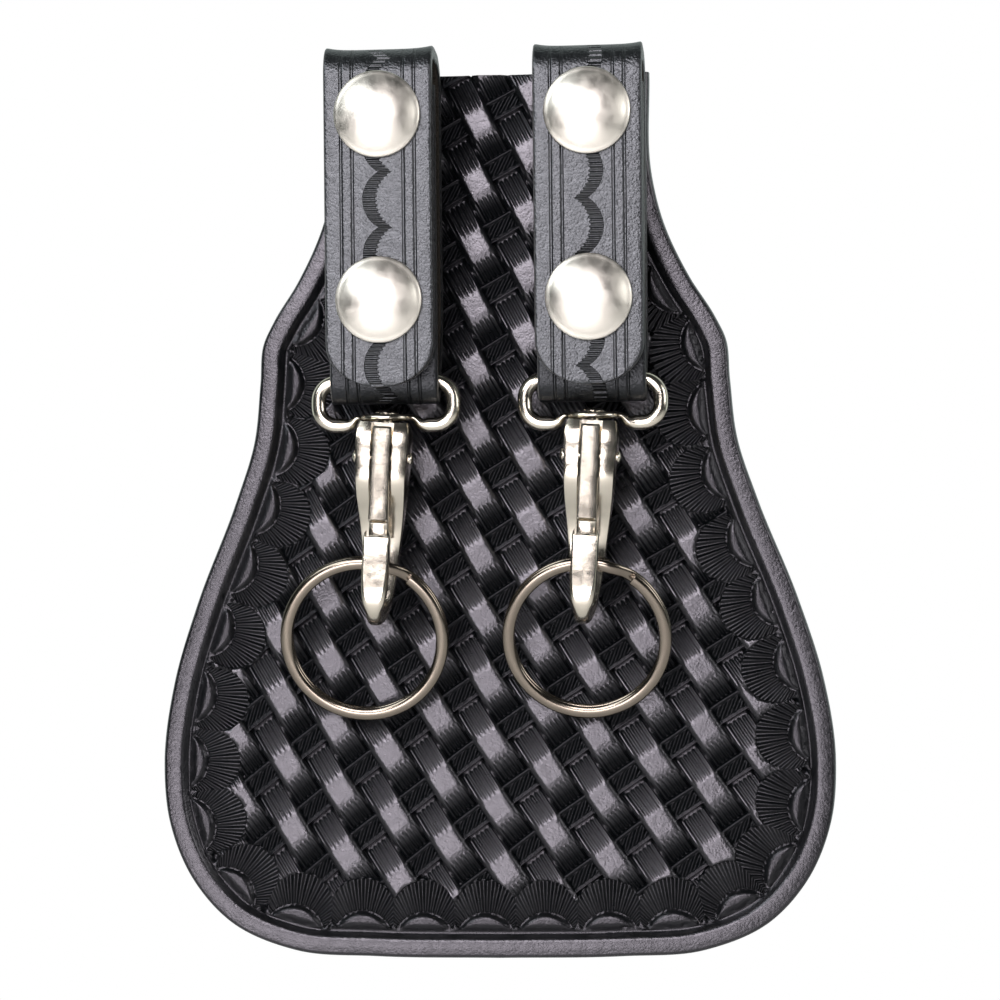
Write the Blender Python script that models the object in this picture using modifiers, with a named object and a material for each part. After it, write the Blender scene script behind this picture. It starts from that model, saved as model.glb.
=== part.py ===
"""Leather key sheath with two strap loops, swivel snap hooks and split rings.

Metres, +Z up, as worn: the belt runs along X through both strap loops, the
panel hangs behind the hooks and its front faces -Y. The origin is the middle
of the belt's way through the loops. Each strap is one strip of leather: the
flap in front, the top fold, the back ply, the fold round the hook's bar, and
the base ply that carries the snap studs under the flap.
"""
from math import cos, pi, radians, sin, sqrt

import bmesh
import bpy
from mathutils import Matrix, Vector

# Clearances
SEAT = 0.0003            # leather or metal resting on leather
FIT = 0.0002             # small metal pieces that sit in each other
RUNNING = 0.0003         # metal that turns in metal
OVERRUN = 0.001          # how far a cutter passes what it cuts
EDGE_ROUND = 0.0004      # bevelled leather edges
JOIN = 0.00001           # points this close are one point

# Straps
BELT_ROOM = 0.0078       # front to back, between base ply and back ply
STRAP_WIDTH = 0.01905
STRAP_LEATHER = 0.0024
STRAP_SPACING = 0.0366   # between the two straps' centre lines
STRAP_TOP = 0.0280       # top of the fold above the belt's middle
FOLD_FRONT_RADIUS = 0.0048   # outer radius of the top fold over the flap
FOLD_BACK_RADIUS = 0.0076    # and over the back ply
PLY_GAP = 0.0030         # between base ply and flap, filled by the snaps
FLAP_SPLIT_DROP = 0.0004  # where the flap flexes, below the fold's front corner
FLAP_END = 0.0326        # flap's rounded end, below the belt's middle
FLAP_END_ROUND = 0.0076  # height of the rounded end
BASE_PLY_TOP = 0.0205    # top end of the base ply, above the belt's middle
BACK_BEND_START = 0.0195  # where the back ply leaves the panel, below the middle

# Snap fasteners, from the flap's face to the base ply's back
SNAP_UPPER = 0.0149      # upper snap's height above the belt's middle
SNAP_SPACING = 0.0323
CAP_RADIUS = 0.0076
CAP_DOME = 0.0030
CAP_DOME_SHARES = (0.0, 0.25, 0.5, 0.72, 0.9)  # rings of the dome, of CAP_RADIUS
CAP_RIM = 0.0005
CAP_POST_RADIUS = 0.0015
SOCKET_RADIUS = 0.0062
SOCKET_PLATE = 0.0005
SOCKET_BORE = 0.0024
SOCKET_COLLAR_WALL = 0.0011
SOCKET_RIM = 0.0006
STUD_RADIUS = 0.0050
STUD_PLATE = 0.00045
STUD_NUB_RADIUS = 0.0020
STUD_NUB_CROWN = 0.0014
POST_RADIUS = 0.0045
POST_PLATE = 0.0005
POST_TUBE_RADIUS = 0.0011

# Panel
PANEL_WIDTH = 0.1208
PANEL_HEIGHT = 0.1582
PANEL_TOP = 0.0236       # top edge above the belt's middle
PANEL_LEATHER = 0.0032
FIELD_DEPTH = 0.00025    # the tooled field lies this far under the border's crown
BORDER_WIDTH = 0.0049
BORDER_GROOVE = 0.0003   # groove's depth below the field
EDGE_CHAMFER = 0.0007
# Half width and height above the bottom, as shares of half PANEL_WIDTH and PANEL_HEIGHT
PANEL_SIDE_SHARES = [
    (0.0, 0.0), (0.37, 0.002), (0.61, 0.009), (0.803, 0.041), (0.912, 0.087),
    (0.985, 0.155), (1.0, 0.221), (0.967, 0.314), (0.894, 0.405), (0.776, 0.519),
    (0.719, 0.587), (0.699, 0.655), (0.688, 0.699), (0.657, 0.724), (0.583, 0.769),
    (0.502, 0.838), (0.475, 0.883), (0.470, 1.0),
]
# Inward offset and depth behind the crown, as shares of BORDER_WIDTH and PANEL_LEATHER
BORDER_SHARES = [(0.0, 0.31), (0.17, 0.05), (0.45, 0.0), (0.76, 0.06)]
PANEL_SPAN_STEPS = 2     # outline points per span of the table above

# Rivets that fasten each back ply to the panel
RIVET_UPPER = 0.0140     # above the belt's middle
RIVET_LOWER = 0.0130     # below the belt's middle
RIVET_HEAD_RADIUS = 0.0036
RIVET_HEAD = 0.0006
RIVET_SHANK_RADIUS = 0.0014
BURR_RADIUS = 0.0040
BURR_THICKNESS = 0.0006
BURR_POCKET = 0.0011

# Hook loops
WIRE_RADIUS = 0.0013
LOOP_BAR_ROOM = 0.000475  # straight bar beyond the strap's edge
LOOP_HEIGHT = 0.0103
LOOP_CORNER_RADIUS = 0.0033
LOOP_BAR_DROP = 0.0314   # the bar in the strap, below the belt's middle
BOSS_RADIUS = 0.0048
BOSS_DEPTH_SHARE = 0.84  # front-to-back radius as a share of BOSS_RADIUS
BOSS_THICKNESS = 0.00115
BOSS_RISE = 0.00075      # boss's underside above the lower bar's centre
POCKET_ROOM = 0.0006     # wire cut back past the boss, where the hook turns

# Swivel hooks. Depths are measured forward of the swivel's axis
HOOK_LEAN = radians(3.4)     # both hooks hang to one side in their swivels
HOOK_LENGTH = 0.03605
HOOK_WIDTH = 0.0093
HOOK_BACK = 0.0040       # back face behind the swivel's axis
HOOK_FRONT = 0.0060      # front of the side walls
SHANK_THICKNESS = 0.0033
THROAT_RADIUS = 0.0026
NOSE_THICKNESS = 0.0028
NOSE_LENGTH = 0.01105    # nose tip above the bend's centre
HOOK_EDGE = 0.0004       # small edge at the inner side of every section
BEVEL_DEPTH_SHARE = 0.30  # bevel at the outer side, as a share of the thickness
SLOT_WIDTH = 0.0040
SLOT_BLOCK_FRONT = 0.0022    # front of the solid block that holds the stem
SLOT_BLOCK_DROP = 0.0036
STEM_RADIUS = 0.00125
STEM_HEAD_RADIUS = 0.0021
STEM_HEAD = 0.0005
STEM_DEPTH = 0.0030      # how deep the stem sits in the hook
# Shank sections: drop as a share of the straight part, thickness as a share of the
# hook's depth at its walls, half width and outer flat as shares of half HOOK_WIDTH
SHANK_SHARES = [
    (0.0, 0.93, 0.90, 0.64), (0.06, 1.0, 0.985, 0.72), (0.24, 1.0, 0.965, 0.72),
    (0.34, 0.97, 0.945, 0.70), (0.43, 0.82, 0.92, 0.68), (0.52, 0.60, 0.87, 0.64),
    (0.62, 0.41, 0.80, 0.58), (0.73, 0.33, 0.735, 0.50), (0.88, 0.33, 0.645, 0.42),
    (1.0, 0.33, 0.56, 0.34),
]
# Bend sections: share of the half turn, half width and outer flat as above
BEND_SHARES = [
    (0.17, 0.47, 0.24), (0.34, 0.37, 0.13), (0.50, 0.30, 0.06), (0.64, 0.29, 0.04),
    (0.78, 0.32, 0.04), (0.89, 0.42, 0.18), (1.0, 0.475, 0.31),
]
# Nose sections: share of the way up to the tip, half width, outer flat, thickness share
NOSE_SHARES = [(0.25, 0.50, 0.40, 1.0), (0.70, 0.50, 0.42, 0.97), (0.94, 0.49, 0.41, 0.84),
               (1.0, 0.43, 0.34, 0.62)]

# Gates
GATE_WIDTH = 0.0034
GATE_FRONT = 0.0063      # front face forward of the swivel's axis
GATE_TOP_DROP = 0.0007
GATE_PIVOT_DROP = 0.00625
GATE_PIVOT_FRONT = 0.0026
GATE_EAR_RADIUS = 0.0018
GATE_PLATE = 0.0016
GATE_END_ROOM = 0.0015   # from the front plate's end down to the nose tip
TONGUE_LAP = 0.0012      # how far the tongue reaches down behind the nose
TONGUE_THICKNESS = 0.0012
PIN_RADIUS = 0.0008
PIN_HEAD_RADIUS = 0.00118
PIN_HEAD = 0.0006
PIN_SHOULDER_SHARE = 0.72  # flat of the head as a share of its radius
SPRING_WIRE = 0.00018    # wire radius
SPRING_COIL_RADIUS = 0.00125
SPRING_PITCH = 0.00052
SPRING_TURNS = 2.5
SPRING_LEG = 0.0036      # lower leg, from the pivot down
SPRING_ROOM = 0.0019     # slot between the gate's ears

# Split rings
RING_OUTER_RADIUS = 0.0150
RING_WIRE_WIDTH = 0.0022
RING_WIRE_THICKNESS = 0.00122
RING_COIL_GAP = 0.0001
RING_DROP = 0.02505      # wire centre below the hook's top
RING_JOG_START = radians(14)
RING_JOG_END = radians(34)
RING_STEPS = 26          # sections per turn
RING_FORWARD_LEFT = 0.0015   # throat's resting place for the wire, before the swivel's axis
RING_FORWARD_RIGHT = 0.0023
RING_SHIFT_LEFT = -0.0022    # ring's centre to the side of the hook
RING_SHIFT_RIGHT = 0.0007
RING_CORNER_SHARE = 0.5      # rounding of the wire's corners, as a share of its half thickness
RING_LEAN = {"left": radians(14), "right": radians(17.5)}

SIDES = {"left": -1.0, "right": 1.0}

# Places that follow from the sizes above
RING_FORWARD = {"left": RING_FORWARD_LEFT, "right": RING_FORWARD_RIGHT}
RING_SHIFT = {"left": RING_SHIFT_LEFT, "right": RING_SHIFT_RIGHT}
BACK_PLY_FACE = BELT_ROOM / 2
BACK_PLY_BACK = BACK_PLY_FACE + STRAP_LEATHER
BASE_PLY_FACE = -BELT_ROOM / 2 - STRAP_LEATHER
FLAP_BACK = BASE_PLY_FACE - PLY_GAP
FLAP_FRONT = FLAP_BACK - STRAP_LEATHER
CROWN_Y = BACK_PLY_BACK + SEAT
FIELD_Y = CROWN_Y + FIELD_DEPTH
PANEL_BACK = CROWN_Y + PANEL_LEATHER
BOTTOM_FOLD_RADIUS = WIRE_RADIUS + SEAT + STRAP_LEATHER / 2
SWIVEL_Y = BASE_PLY_FACE + STRAP_LEATHER / 2 + BOTTOM_FOLD_RADIUS
LOOP_WIDTH = STRAP_WIDTH + 2 * (LOOP_BAR_ROOM + LOOP_CORNER_RADIUS)
BAR_Z = -LOOP_BAR_DROP
LOWER_BAR_Z = BAR_Z - LOOP_HEIGHT + 2 * WIRE_RADIUS
BOSS_UNDER = LOWER_BAR_Z + BOSS_RISE
BOSS_TOP = BOSS_UNDER + BOSS_THICKNESS
HOOK_TOP = BOSS_UNDER - RUNNING
HOOK_STRAIGHT = HOOK_LENGTH - SHANK_THICKNESS - THROAT_RADIUS
NOSE_TIP_DROP = HOOK_STRAIGHT - NOSE_LENGTH
GATE_END_DROP = NOSE_TIP_DROP - GATE_END_ROOM
TONGUE_DROP = NOSE_TIP_DROP + TONGUE_LAP
FLAP_HINGE_Z = STRAP_TOP - FOLD_FRONT_RADIUS - FLAP_SPLIT_DROP
SNAP_HEIGHTS = {"upper": SNAP_UPPER, "lower": SNAP_UPPER - SNAP_SPACING}
RIVET_HEIGHTS = {"upper": RIVET_UPPER, "lower": -RIVET_LOWER}


def clear_scene():
    for old in list(bpy.data.objects):
        bpy.data.objects.remove(old, do_unlink=True)


def collection(name):
    made = bpy.data.collections.new(name)
    bpy.context.scene.collection.children.link(made)
    return made


def material(name, colour, roughness, metallic):
    made = bpy.data.materials.new(name)
    made.use_nodes = True
    shader = made.node_tree.nodes["Principled BSDF"]
    shader.inputs["Base Color"].default_value = (*colour, 1.0)
    shader.inputs["Roughness"].default_value = roughness
    shader.inputs["Metallic"].default_value = metallic
    made.diffuse_color = (*colour, 1.0)
    return made


def link(obj, finish=None):
    """Put an object in the part's collection and give it its material."""
    PIECES.objects.link(obj)
    if finish is not None:
        obj.data.materials.append(finish)
    return obj


def smooth(obj, angle=radians(35)):
    obj.data.shade_smooth()
    obj.data.set_sharp_from_angle(angle=angle)
    return obj


def mesh_from_bmesh(name, built):
    bmesh.ops.recalc_face_normals(built, faces=built.faces)
    data = bpy.data.meshes.new(name)
    built.to_mesh(data)
    built.free()
    return bpy.data.objects.new(name, data)


def mesh_from_curve(name, curve_object, merge=JOIN):
    """Turn a curve into a welded mesh object with the curve's place."""
    bpy.context.scene.collection.objects.link(curve_object)
    bpy.context.view_layer.update()
    evaluated = curve_object.evaluated_get(bpy.context.evaluated_depsgraph_get())
    data = bpy.data.meshes.new_from_object(evaluated)
    data.materials.clear()
    built = bmesh.new()
    built.from_mesh(data)
    bmesh.ops.remove_doubles(built, verts=built.verts, dist=merge)
    built.to_mesh(data)
    built.free()
    data.name = name
    made = bpy.data.objects.new(name, data)
    made.matrix_world = curve_object.matrix_world.copy()
    bpy.data.objects.remove(curve_object, do_unlink=True)
    return made


def flat_piece(name, outline, thickness):
    """Extrude a closed outline in local XY, centred on local Z = 0."""
    curve = bpy.data.curves.new(name + "_outline", "CURVE")
    curve.dimensions = "2D"
    curve.fill_mode = "BOTH"
    curve.extrude = thickness / 2
    spline = curve.splines.new("POLY")
    spline.points.add(len(outline) - 1)
    for point, (across, up) in zip(spline.points, outline):
        point.co = (across, up, 0.0, 1.0)
    spline.use_cyclic_u = True
    return mesh_from_curve(name, bpy.data.objects.new(name + "_outline", curve))


def side_piece(name, outline, width):
    """Extrude an outline of (Y, Z) points along X, centred on X = 0."""
    made = flat_piece(name, outline, width)
    made.data.transform(Matrix(((0, 0, 1, 0), (1, 0, 0, 0), (0, 1, 0, 0), (0, 0, 0, 1))))
    return made


def front_piece(name, outline, thickness):
    """Extrude an outline of (X, Z) points along Y, centred on Y = 0."""
    made = flat_piece(name, outline, thickness)
    made.data.transform(Matrix(((1, 0, 0, 0), (0, 0, -1, 0), (0, 1, 0, 0), (0, 0, 0, 1))))
    return made


def turned(name, profile, steps):
    """Turn (radius, height) points about local Z; the profile runs top to bottom."""
    data = bpy.data.meshes.new(name)
    points = [(radius, 0.0, height) for radius, height in profile]
    edges = [(index, index + 1) for index in range(len(points) - 1)]
    if min(radius for radius, _ in profile) > 0:
        edges.append((len(points) - 1, 0))
    data.from_pydata(points, edges, [])
    made = bpy.data.objects.new(name, data)
    screw = made.modifiers.new("turn", "SCREW")
    screw.axis = "Z"
    screw.angle = 2 * pi
    screw.steps = steps
    screw.render_steps = steps
    screw.use_merge_vertices = True
    screw.merge_threshold = JOIN
    screw.use_smooth_shade = True
    return made


def wire(name, points, radius, cyclic=False, resolution=2):
    curve = bpy.data.curves.new(name, "CURVE")
    curve.dimensions = "3D"
    curve.bevel_depth = radius
    curve.bevel_resolution = resolution
    curve.use_fill_caps = True
    spline = curve.splines.new("POLY")
    spline.points.add(len(points) - 1)
    for point, place in zip(spline.points, points):
        point.co = (*place, 1.0)
    spline.use_cyclic_u = cyclic
    return mesh_from_curve(name, bpy.data.objects.new(name + "_path", curve))


def loft(name, rings):
    """Close a tube of equal-length point rings with a face at each end."""
    built = bmesh.new()
    loops = [[built.verts.new(place) for place in ring] for ring in rings]
    for before, after in zip(loops, loops[1:]):
        for index in range(len(before)):
            following = (index + 1) % len(before)
            built.faces.new((before[index], before[following], after[following], after[index]))
    built.faces.new(list(reversed(loops[0])))
    built.faces.new(loops[-1])
    return mesh_from_bmesh(name, built)


def cylinder(name, radius, length, steps=20):
    """A cylinder along local Z, centred on the origin."""
    built = bmesh.new()
    bmesh.ops.create_cone(built, cap_ends=True, segments=steps, radius1=radius,
                          radius2=radius, depth=length)
    return mesh_from_bmesh(name, built)


def cut(target, cutter, operation="DIFFERENCE"):
    """Cut the target with a hidden tool that stays in the tools' collection."""
    TOOLS.objects.link(cutter)
    cutter.hide_render = True
    cutter.display_type = "WIRE"
    cutter.parent = target.parent
    cutter.matrix_basis = target.matrix_basis.copy()
    boolean = target.modifiers.new(cutter.name, "BOOLEAN")
    boolean.operation = operation
    boolean.solver = "EXACT"
    boolean.object = cutter
    return target


def drill(target, place, radius, length, axis="Y", steps=16):
    """Drill a round hole through the target, centred on a place along an axis."""
    tool = cylinder(target.name + "_drill", radius, length, steps)
    turn = {"X": ("Y", pi / 2), "Y": ("X", pi / 2), "Z": ("Z", 0.0)}[axis]
    tool.data.transform(Matrix.Rotation(turn[1], 4, turn[0]))
    tool.data.transform(Matrix.Translation(place))
    return cut(target, tool)


def bevel(obj, width, segments=1, angle=radians(50)):
    edge = obj.modifiers.new("edges", "BEVEL")
    edge.width = width
    edge.segments = segments
    edge.limit_method = "ANGLE"
    edge.angle_limit = angle
    return obj


def arc(centre, radius, start, end, steps):
    """Points on an arc in a plane; angles from the first axis to the second."""
    return [(centre[0] + radius * cos(start + (end - start) * step / steps),
             centre[1] + radius * sin(start + (end - start) * step / steps))
            for step in range(steps + 1)]


def smooth_path(points, steps):
    """A cubic curve through points, with slopes from their neighbours."""
    places = [Vector(point) for point in points]
    spans = [(after - before).length for before, after in zip(places, places[1:])]
    slopes = []
    for index in range(len(places)):
        if index == 0:
            slopes.append((places[1] - places[0]) / spans[0])
        elif index == len(places) - 1:
            slopes.append((places[-1] - places[-2]) / spans[-1])
        else:
            before = (places[index] - places[index - 1]) / spans[index - 1]
            after = (places[index + 1] - places[index]) / spans[index]
            total = spans[index - 1] + spans[index]
            slopes.append((before * spans[index] + after * spans[index - 1]) / total)
    path = []
    for index, span in enumerate(spans):
        for step in range(steps):
            t = step / steps
            path.append(places[index] * (2 * t**3 - 3 * t**2 + 1)
                        + slopes[index] * span * (t**3 - 2 * t**2 + t)
                        + places[index + 1] * (3 * t**2 - 2 * t**3)
                        + slopes[index + 1] * span * (t**3 - t**2))
    path.append(places[-1])
    return path


def normals_of(path):
    """Left-hand normals of an open planar path."""
    found = []
    for index in range(len(path)):
        before = path[max(index - 1, 0)]
        after = path[min(index + 1, len(path) - 1)]
        along = (Vector(after) - Vector(before)).normalized()
        found.append(Vector((-along.y, along.x)))
    return found


def thick_line(path, thickness):
    """The closed outline of a strip of even thickness along an open path."""
    sides = normals_of(path)
    outer = [Vector(p) + n * thickness / 2 for p, n in zip(path, sides)]
    inner = [Vector(p) - n * thickness / 2 for p, n in zip(path, sides)]
    return [tuple(p) for p in outer + inner[::-1]]


def joint_empty(name, place, parent=None, lean=0.0):
    """An empty on a joint's axis; lean turns it about Y."""
    empty = bpy.data.objects.new(name, None)
    PIECES.objects.link(empty)
    empty.empty_display_size = STRAP_WIDTH / 2
    empty.parent = parent
    empty.location = place
    empty.rotation_euler = (0.0, lean, 0.0)
    bpy.context.view_layer.update()
    return empty


def attach(obj, empty):
    """Carry an object that is modelled in the empty's own frame."""
    obj.parent = empty
    return obj


def panel_side():
    """Half of the panel's outline, from the bottom's middle to the top corner."""
    bottom = PANEL_TOP - PANEL_HEIGHT
    points = [(across * PANEL_WIDTH / 2, bottom + up * PANEL_HEIGHT)
              for across, up in PANEL_SIDE_SHARES]
    return smooth_path(points, PANEL_SPAN_STEPS)


def panel_section():
    """Inward offset and Y of the panel's edge, from the back round to the field."""
    crown = [(offset * BORDER_WIDTH, CROWN_Y + depth * PANEL_LEATHER)
             for offset, depth in BORDER_SHARES]
    groove = BORDER_WIDTH - (BORDER_GROOVE + FIELD_DEPTH)
    return ([(EDGE_CHAMFER, PANEL_BACK), (0.0, PANEL_BACK - EDGE_CHAMFER)] + crown
            + [(groove, FIELD_Y + BORDER_GROOVE), (BORDER_WIDTH, FIELD_Y)])


def back_panel():
    """Bell-shaped panel: smooth domed border round a sunken field, open cut on top."""
    side = panel_side()
    inward = normals_of(side)
    inward[0] = Vector((0.0, 1.0))
    inward[-1] = Vector((-1.0, 0.0))
    section = panel_section()
    built = bmesh.new()
    rows = []
    for place, normal in zip(side, inward):
        row = []
        for offset, depth in section:
            point = place + normal * offset
            row.append(built.verts.new((max(point.x, 0.0), depth, min(point.y, PANEL_TOP))))
        rows.append(row)
    for before, after in zip(rows, rows[1:]):
        for index in range(len(section) - 1):
            built.faces.new((before[index], before[index + 1], after[index + 1], after[index]))
    top_back = built.verts.new((0.0, PANEL_BACK, PANEL_TOP))
    top_front = built.verts.new((0.0, FIELD_Y, PANEL_TOP))
    built.faces.new([row[0] for row in rows] + [top_back])
    built.faces.new([row[-1] for row in reversed(rows)] + [top_front])
    built.faces.new(list(reversed(rows[-1])) + [top_back, top_front])
    bmesh.ops.recalc_face_normals(built, faces=built.faces)
    data = bpy.data.meshes.new("back_panel")
    built.to_mesh(data)
    built.free()
    panel = bpy.data.objects.new("back_panel", data)
    link(panel, TOOLED_LEATHER)
    mirror = panel.modifiers.new("halves", "MIRROR")
    mirror.use_axis = (True, False, False)
    mirror.use_mirror_merge = True
    mirror.merge_threshold = JOIN
    for side_sign in SIDES.values():
        for height in RIVET_HEIGHTS.values():
            across = side_sign * STRAP_SPACING / 2
            through = PANEL_LEATHER + 2 * OVERRUN
            middle = (FIELD_Y + PANEL_BACK) / 2
            drill(panel, (across, middle, height), RIVET_SHANK_RADIUS + FIT, through)
            depth = BURR_POCKET + OVERRUN
            pocket_y = PANEL_BACK - BURR_POCKET + depth / 2
            drill(panel, (across, pocket_y, height), BURR_RADIUS + SEAT, depth)
    return panel


def strap_path():
    """Middle line of the fixed part of a strap, as (Y, Z), from the fold's front."""
    front = FOLD_FRONT_RADIUS - STRAP_LEATHER / 2
    rear = FOLD_BACK_RADIUS - STRAP_LEATHER / 2
    front_centre = (FLAP_FRONT + FOLD_FRONT_RADIUS, STRAP_TOP - FOLD_FRONT_RADIUS)
    rear_centre = (BACK_PLY_BACK - FOLD_BACK_RADIUS, STRAP_TOP - FOLD_BACK_RADIUS)
    path = [(FLAP_FRONT + STRAP_LEATHER / 2, FLAP_HINGE_Z)]
    path += arc(front_centre, front, pi, pi / 2, 6)
    path += arc(rear_centre, rear, pi / 2, 0.0, 8)
    back = BACK_PLY_BACK - STRAP_LEATHER / 2
    fold_back = SWIVEL_Y + BOTTOM_FOLD_RADIUS
    bend_top = -BACK_BEND_START
    steps = 8
    for step in range(steps):
        share = step / steps
        ease = share * share * (3 - 2 * share)
        path.append((back + (fold_back - back) * ease, bend_top + (BAR_Z - bend_top) * share))
    path += arc((SWIVEL_Y, BAR_Z), BOTTOM_FOLD_RADIUS, 0.0, -pi, 12)
    path.append((BASE_PLY_FACE + STRAP_LEATHER / 2, BASE_PLY_TOP))
    return path


def strap(side, across):
    made = side_piece("strap_" + side, thick_line(strap_path(), STRAP_LEATHER), STRAP_WIDTH)
    link(made, STRAP_FINISH)
    made.location = (across, 0.0, 0.0)
    bevel(made, EDGE_ROUND)
    base_middle = BASE_PLY_FACE + STRAP_LEATHER / 2
    back_middle = BACK_PLY_FACE + STRAP_LEATHER / 2
    length = STRAP_LEATHER + 2 * OVERRUN
    for height in SNAP_HEIGHTS.values():
        drill(made, (0.0, base_middle, height), POST_TUBE_RADIUS + FIT, length, steps=12)
    for height in RIVET_HEIGHTS.values():
        drill(made, (0.0, back_middle, height), RIVET_SHANK_RADIUS + FIT, length, steps=12)
    return made


def strap_flap(side, hinge):
    """The flexing front ply, with its rounded end."""
    half = STRAP_WIDTH / 2
    straight = -FLAP_END + FLAP_END_ROUND
    steps = 14
    outline = [(half, FLAP_HINGE_Z - SEAT), (-half, FLAP_HINGE_Z - SEAT)]
    for step in range(steps + 1):
        turn = pi + pi * step / steps
        outline.append((half * cos(turn), straight + FLAP_END_ROUND * sin(turn)))
    made = front_piece("strap_flap_" + side, outline, STRAP_LEATHER)
    made.data.transform(Matrix.Translation((0.0, (FLAP_FRONT + FLAP_BACK) / 2, 0.0)))
    made.data.transform(Matrix.Translation((0.0, -FLAP_FRONT, -FLAP_HINGE_Z)))
    link(made, STRAP_FINISH)
    attach(made, hinge)
    bevel(made, EDGE_ROUND)
    for height in SNAP_HEIGHTS.values():
        place = (0.0, (FLAP_BACK - FLAP_FRONT) / 2, height - FLAP_HINGE_Z)
        drill(made, place, CAP_POST_RADIUS + FIT, STRAP_LEATHER + 2 * OVERRUN, steps=12)
    return made


def facing_front(obj, place):
    """Stand a turned piece so that its local +Z points forward, to -Y."""
    obj.rotation_euler = (pi / 2, 0.0, 0.0)
    obj.location = place
    return obj


def cap_profile():
    """Domed cap with a rolled rim and the post that clinches the socket."""
    post_end = -(SEAT + STRAP_LEATHER + FIT + SOCKET_PLATE)
    sphere = (CAP_RADIUS**2 + (CAP_DOME - CAP_RIM)**2) / (2 * (CAP_DOME - CAP_RIM))
    dome = []
    for share in CAP_DOME_SHARES:
        radius = CAP_RADIUS * share
        dome.append((radius, CAP_DOME - sphere + sqrt(sphere**2 - radius**2)))
    return dome + [(CAP_RADIUS, CAP_RIM), (CAP_RADIUS, CAP_RIM / 2),
                   (CAP_RADIUS - CAP_RIM / 2, 0.0), (CAP_POST_RADIUS, 0.0),
                   (CAP_POST_RADIUS, post_end), (0.0, post_end)]


def socket_profile():
    """Spring socket under the flap; heights count from the leather, into the gap."""
    reach = PLY_GAP - STUD_PLATE - SEAT - FIT - RUNNING
    hole = CAP_POST_RADIUS + FIT
    collar = SOCKET_BORE + SOCKET_COLLAR_WALL
    plate = FIT + SOCKET_PLATE
    return [(hole, FIT), (hole, plate), (SOCKET_BORE, plate), (SOCKET_BORE, reach),
            (collar, reach), (collar, plate), (SOCKET_RADIUS - SOCKET_RIM, plate),
            (SOCKET_RADIUS - SOCKET_RIM, plate + SOCKET_RIM), (SOCKET_RADIUS, plate),
            (SOCKET_RADIUS, FIT)]


def stud_profile():
    """Stud on the base ply, hollow at the back for the post's tube."""
    top = PLY_GAP - FIT - SOCKET_PLATE - FIT - FIT
    plate = SEAT + STUD_PLATE
    shoulder = (plate + top) / 2
    cavity = POST_TUBE_RADIUS + FIT
    roof = top - STUD_PLATE
    return [(0.0, top), (STUD_NUB_CROWN, top - FIT), (STUD_NUB_RADIUS, shoulder),
            (STUD_NUB_RADIUS, plate), (STUD_RADIUS - STUD_PLATE / 2, plate),
            (STUD_RADIUS, SEAT), (cavity, SEAT), (cavity, roof), (0.0, roof)]


def post_profile():
    """Flat post behind the base ply, its tube up in the stud."""
    tube_end = STRAP_LEATHER + 2 * SEAT + STUD_PLATE
    return [(0.0, tube_end), (POST_TUBE_RADIUS, tube_end), (POST_TUBE_RADIUS, 0.0),
            (POST_RADIUS, 0.0), (POST_RADIUS, -POST_PLATE / 2),
            (POST_RADIUS - POST_PLATE / 2, -POST_PLATE), (0.0, -POST_PLATE)]


def snap(side, level, across, hinge):
    height = SNAP_HEIGHTS[level]
    label = side + "_" + level
    lift = height - FLAP_HINGE_Z
    cap = link(turned("snap_cap_" + label, cap_profile(), 22), NICKEL)
    attach(facing_front(cap, (0.0, -SEAT, lift)), hinge)
    socket = link(turned("snap_socket_" + label, socket_profile(), 16), NICKEL)
    attach(socket, hinge)
    socket.rotation_euler = (-pi / 2, 0.0, 0.0)
    socket.location = (0.0, FLAP_BACK - FLAP_FRONT, lift)
    stud = link(turned("snap_stud_" + label, stud_profile(), 14), NICKEL)
    facing_front(stud, (across, BASE_PLY_FACE, height))
    post = link(turned("snap_post_" + label, post_profile(), 14), NICKEL)
    facing_front(post, (across, -BELT_ROOM / 2 + SEAT, height))


def panel_rivet(label, across, height):
    """Flat-headed rivet from the belt's way back through the panel, and its burr."""
    reach = BACK_PLY_BACK - BACK_PLY_FACE + SEAT + PANEL_LEATHER
    head = [(0.0, RIVET_HEAD), (RIVET_HEAD_RADIUS - RIVET_HEAD / 2, RIVET_HEAD),
            (RIVET_HEAD_RADIUS, RIVET_HEAD / 2), (RIVET_HEAD_RADIUS, 0.0),
            (RIVET_SHANK_RADIUS, 0.0), (RIVET_SHANK_RADIUS, -reach), (0.0, -reach)]
    rivet = link(turned("panel_rivet_" + label, head, 12), RIVET_METAL)
    facing_front(rivet, (across, BACK_PLY_FACE - FIT, height))
    hole = RIVET_SHANK_RADIUS + FIT
    ring = [(hole, BURR_THICKNESS), (BURR_RADIUS - BURR_THICKNESS / 2, BURR_THICKNESS),
            (BURR_RADIUS, BURR_THICKNESS / 2), (BURR_RADIUS, 0.0), (hole, 0.0)]
    burr = link(turned("rivet_burr_" + label, ring, 12), RIVET_METAL)
    burr.rotation_euler = (-pi / 2, 0.0, 0.0)
    burr.location = (across, PANEL_BACK - BURR_POCKET + FIT, height)


def loop_path():
    """Rounded rectangle of the loop's wire, about the bar's middle, as (X, 0, Z)."""
    half = LOOP_WIDTH / 2 - WIRE_RADIUS
    low = LOWER_BAR_Z - BAR_Z
    radius = LOOP_CORNER_RADIUS
    steps = 5
    path = []
    corners = [(half - radius, -radius, 0.0, pi / 2), (-half + radius, -radius, pi / 2, pi),
               (-half + radius, low + radius, pi, 1.5 * pi),
               (half - radius, low + radius, 1.5 * pi, 2 * pi)]
    for across, up, start, end in corners:
        path += [(x, 0.0, z) for x, z in arc((across, up), radius, start, end, steps)]
    return path


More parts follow.
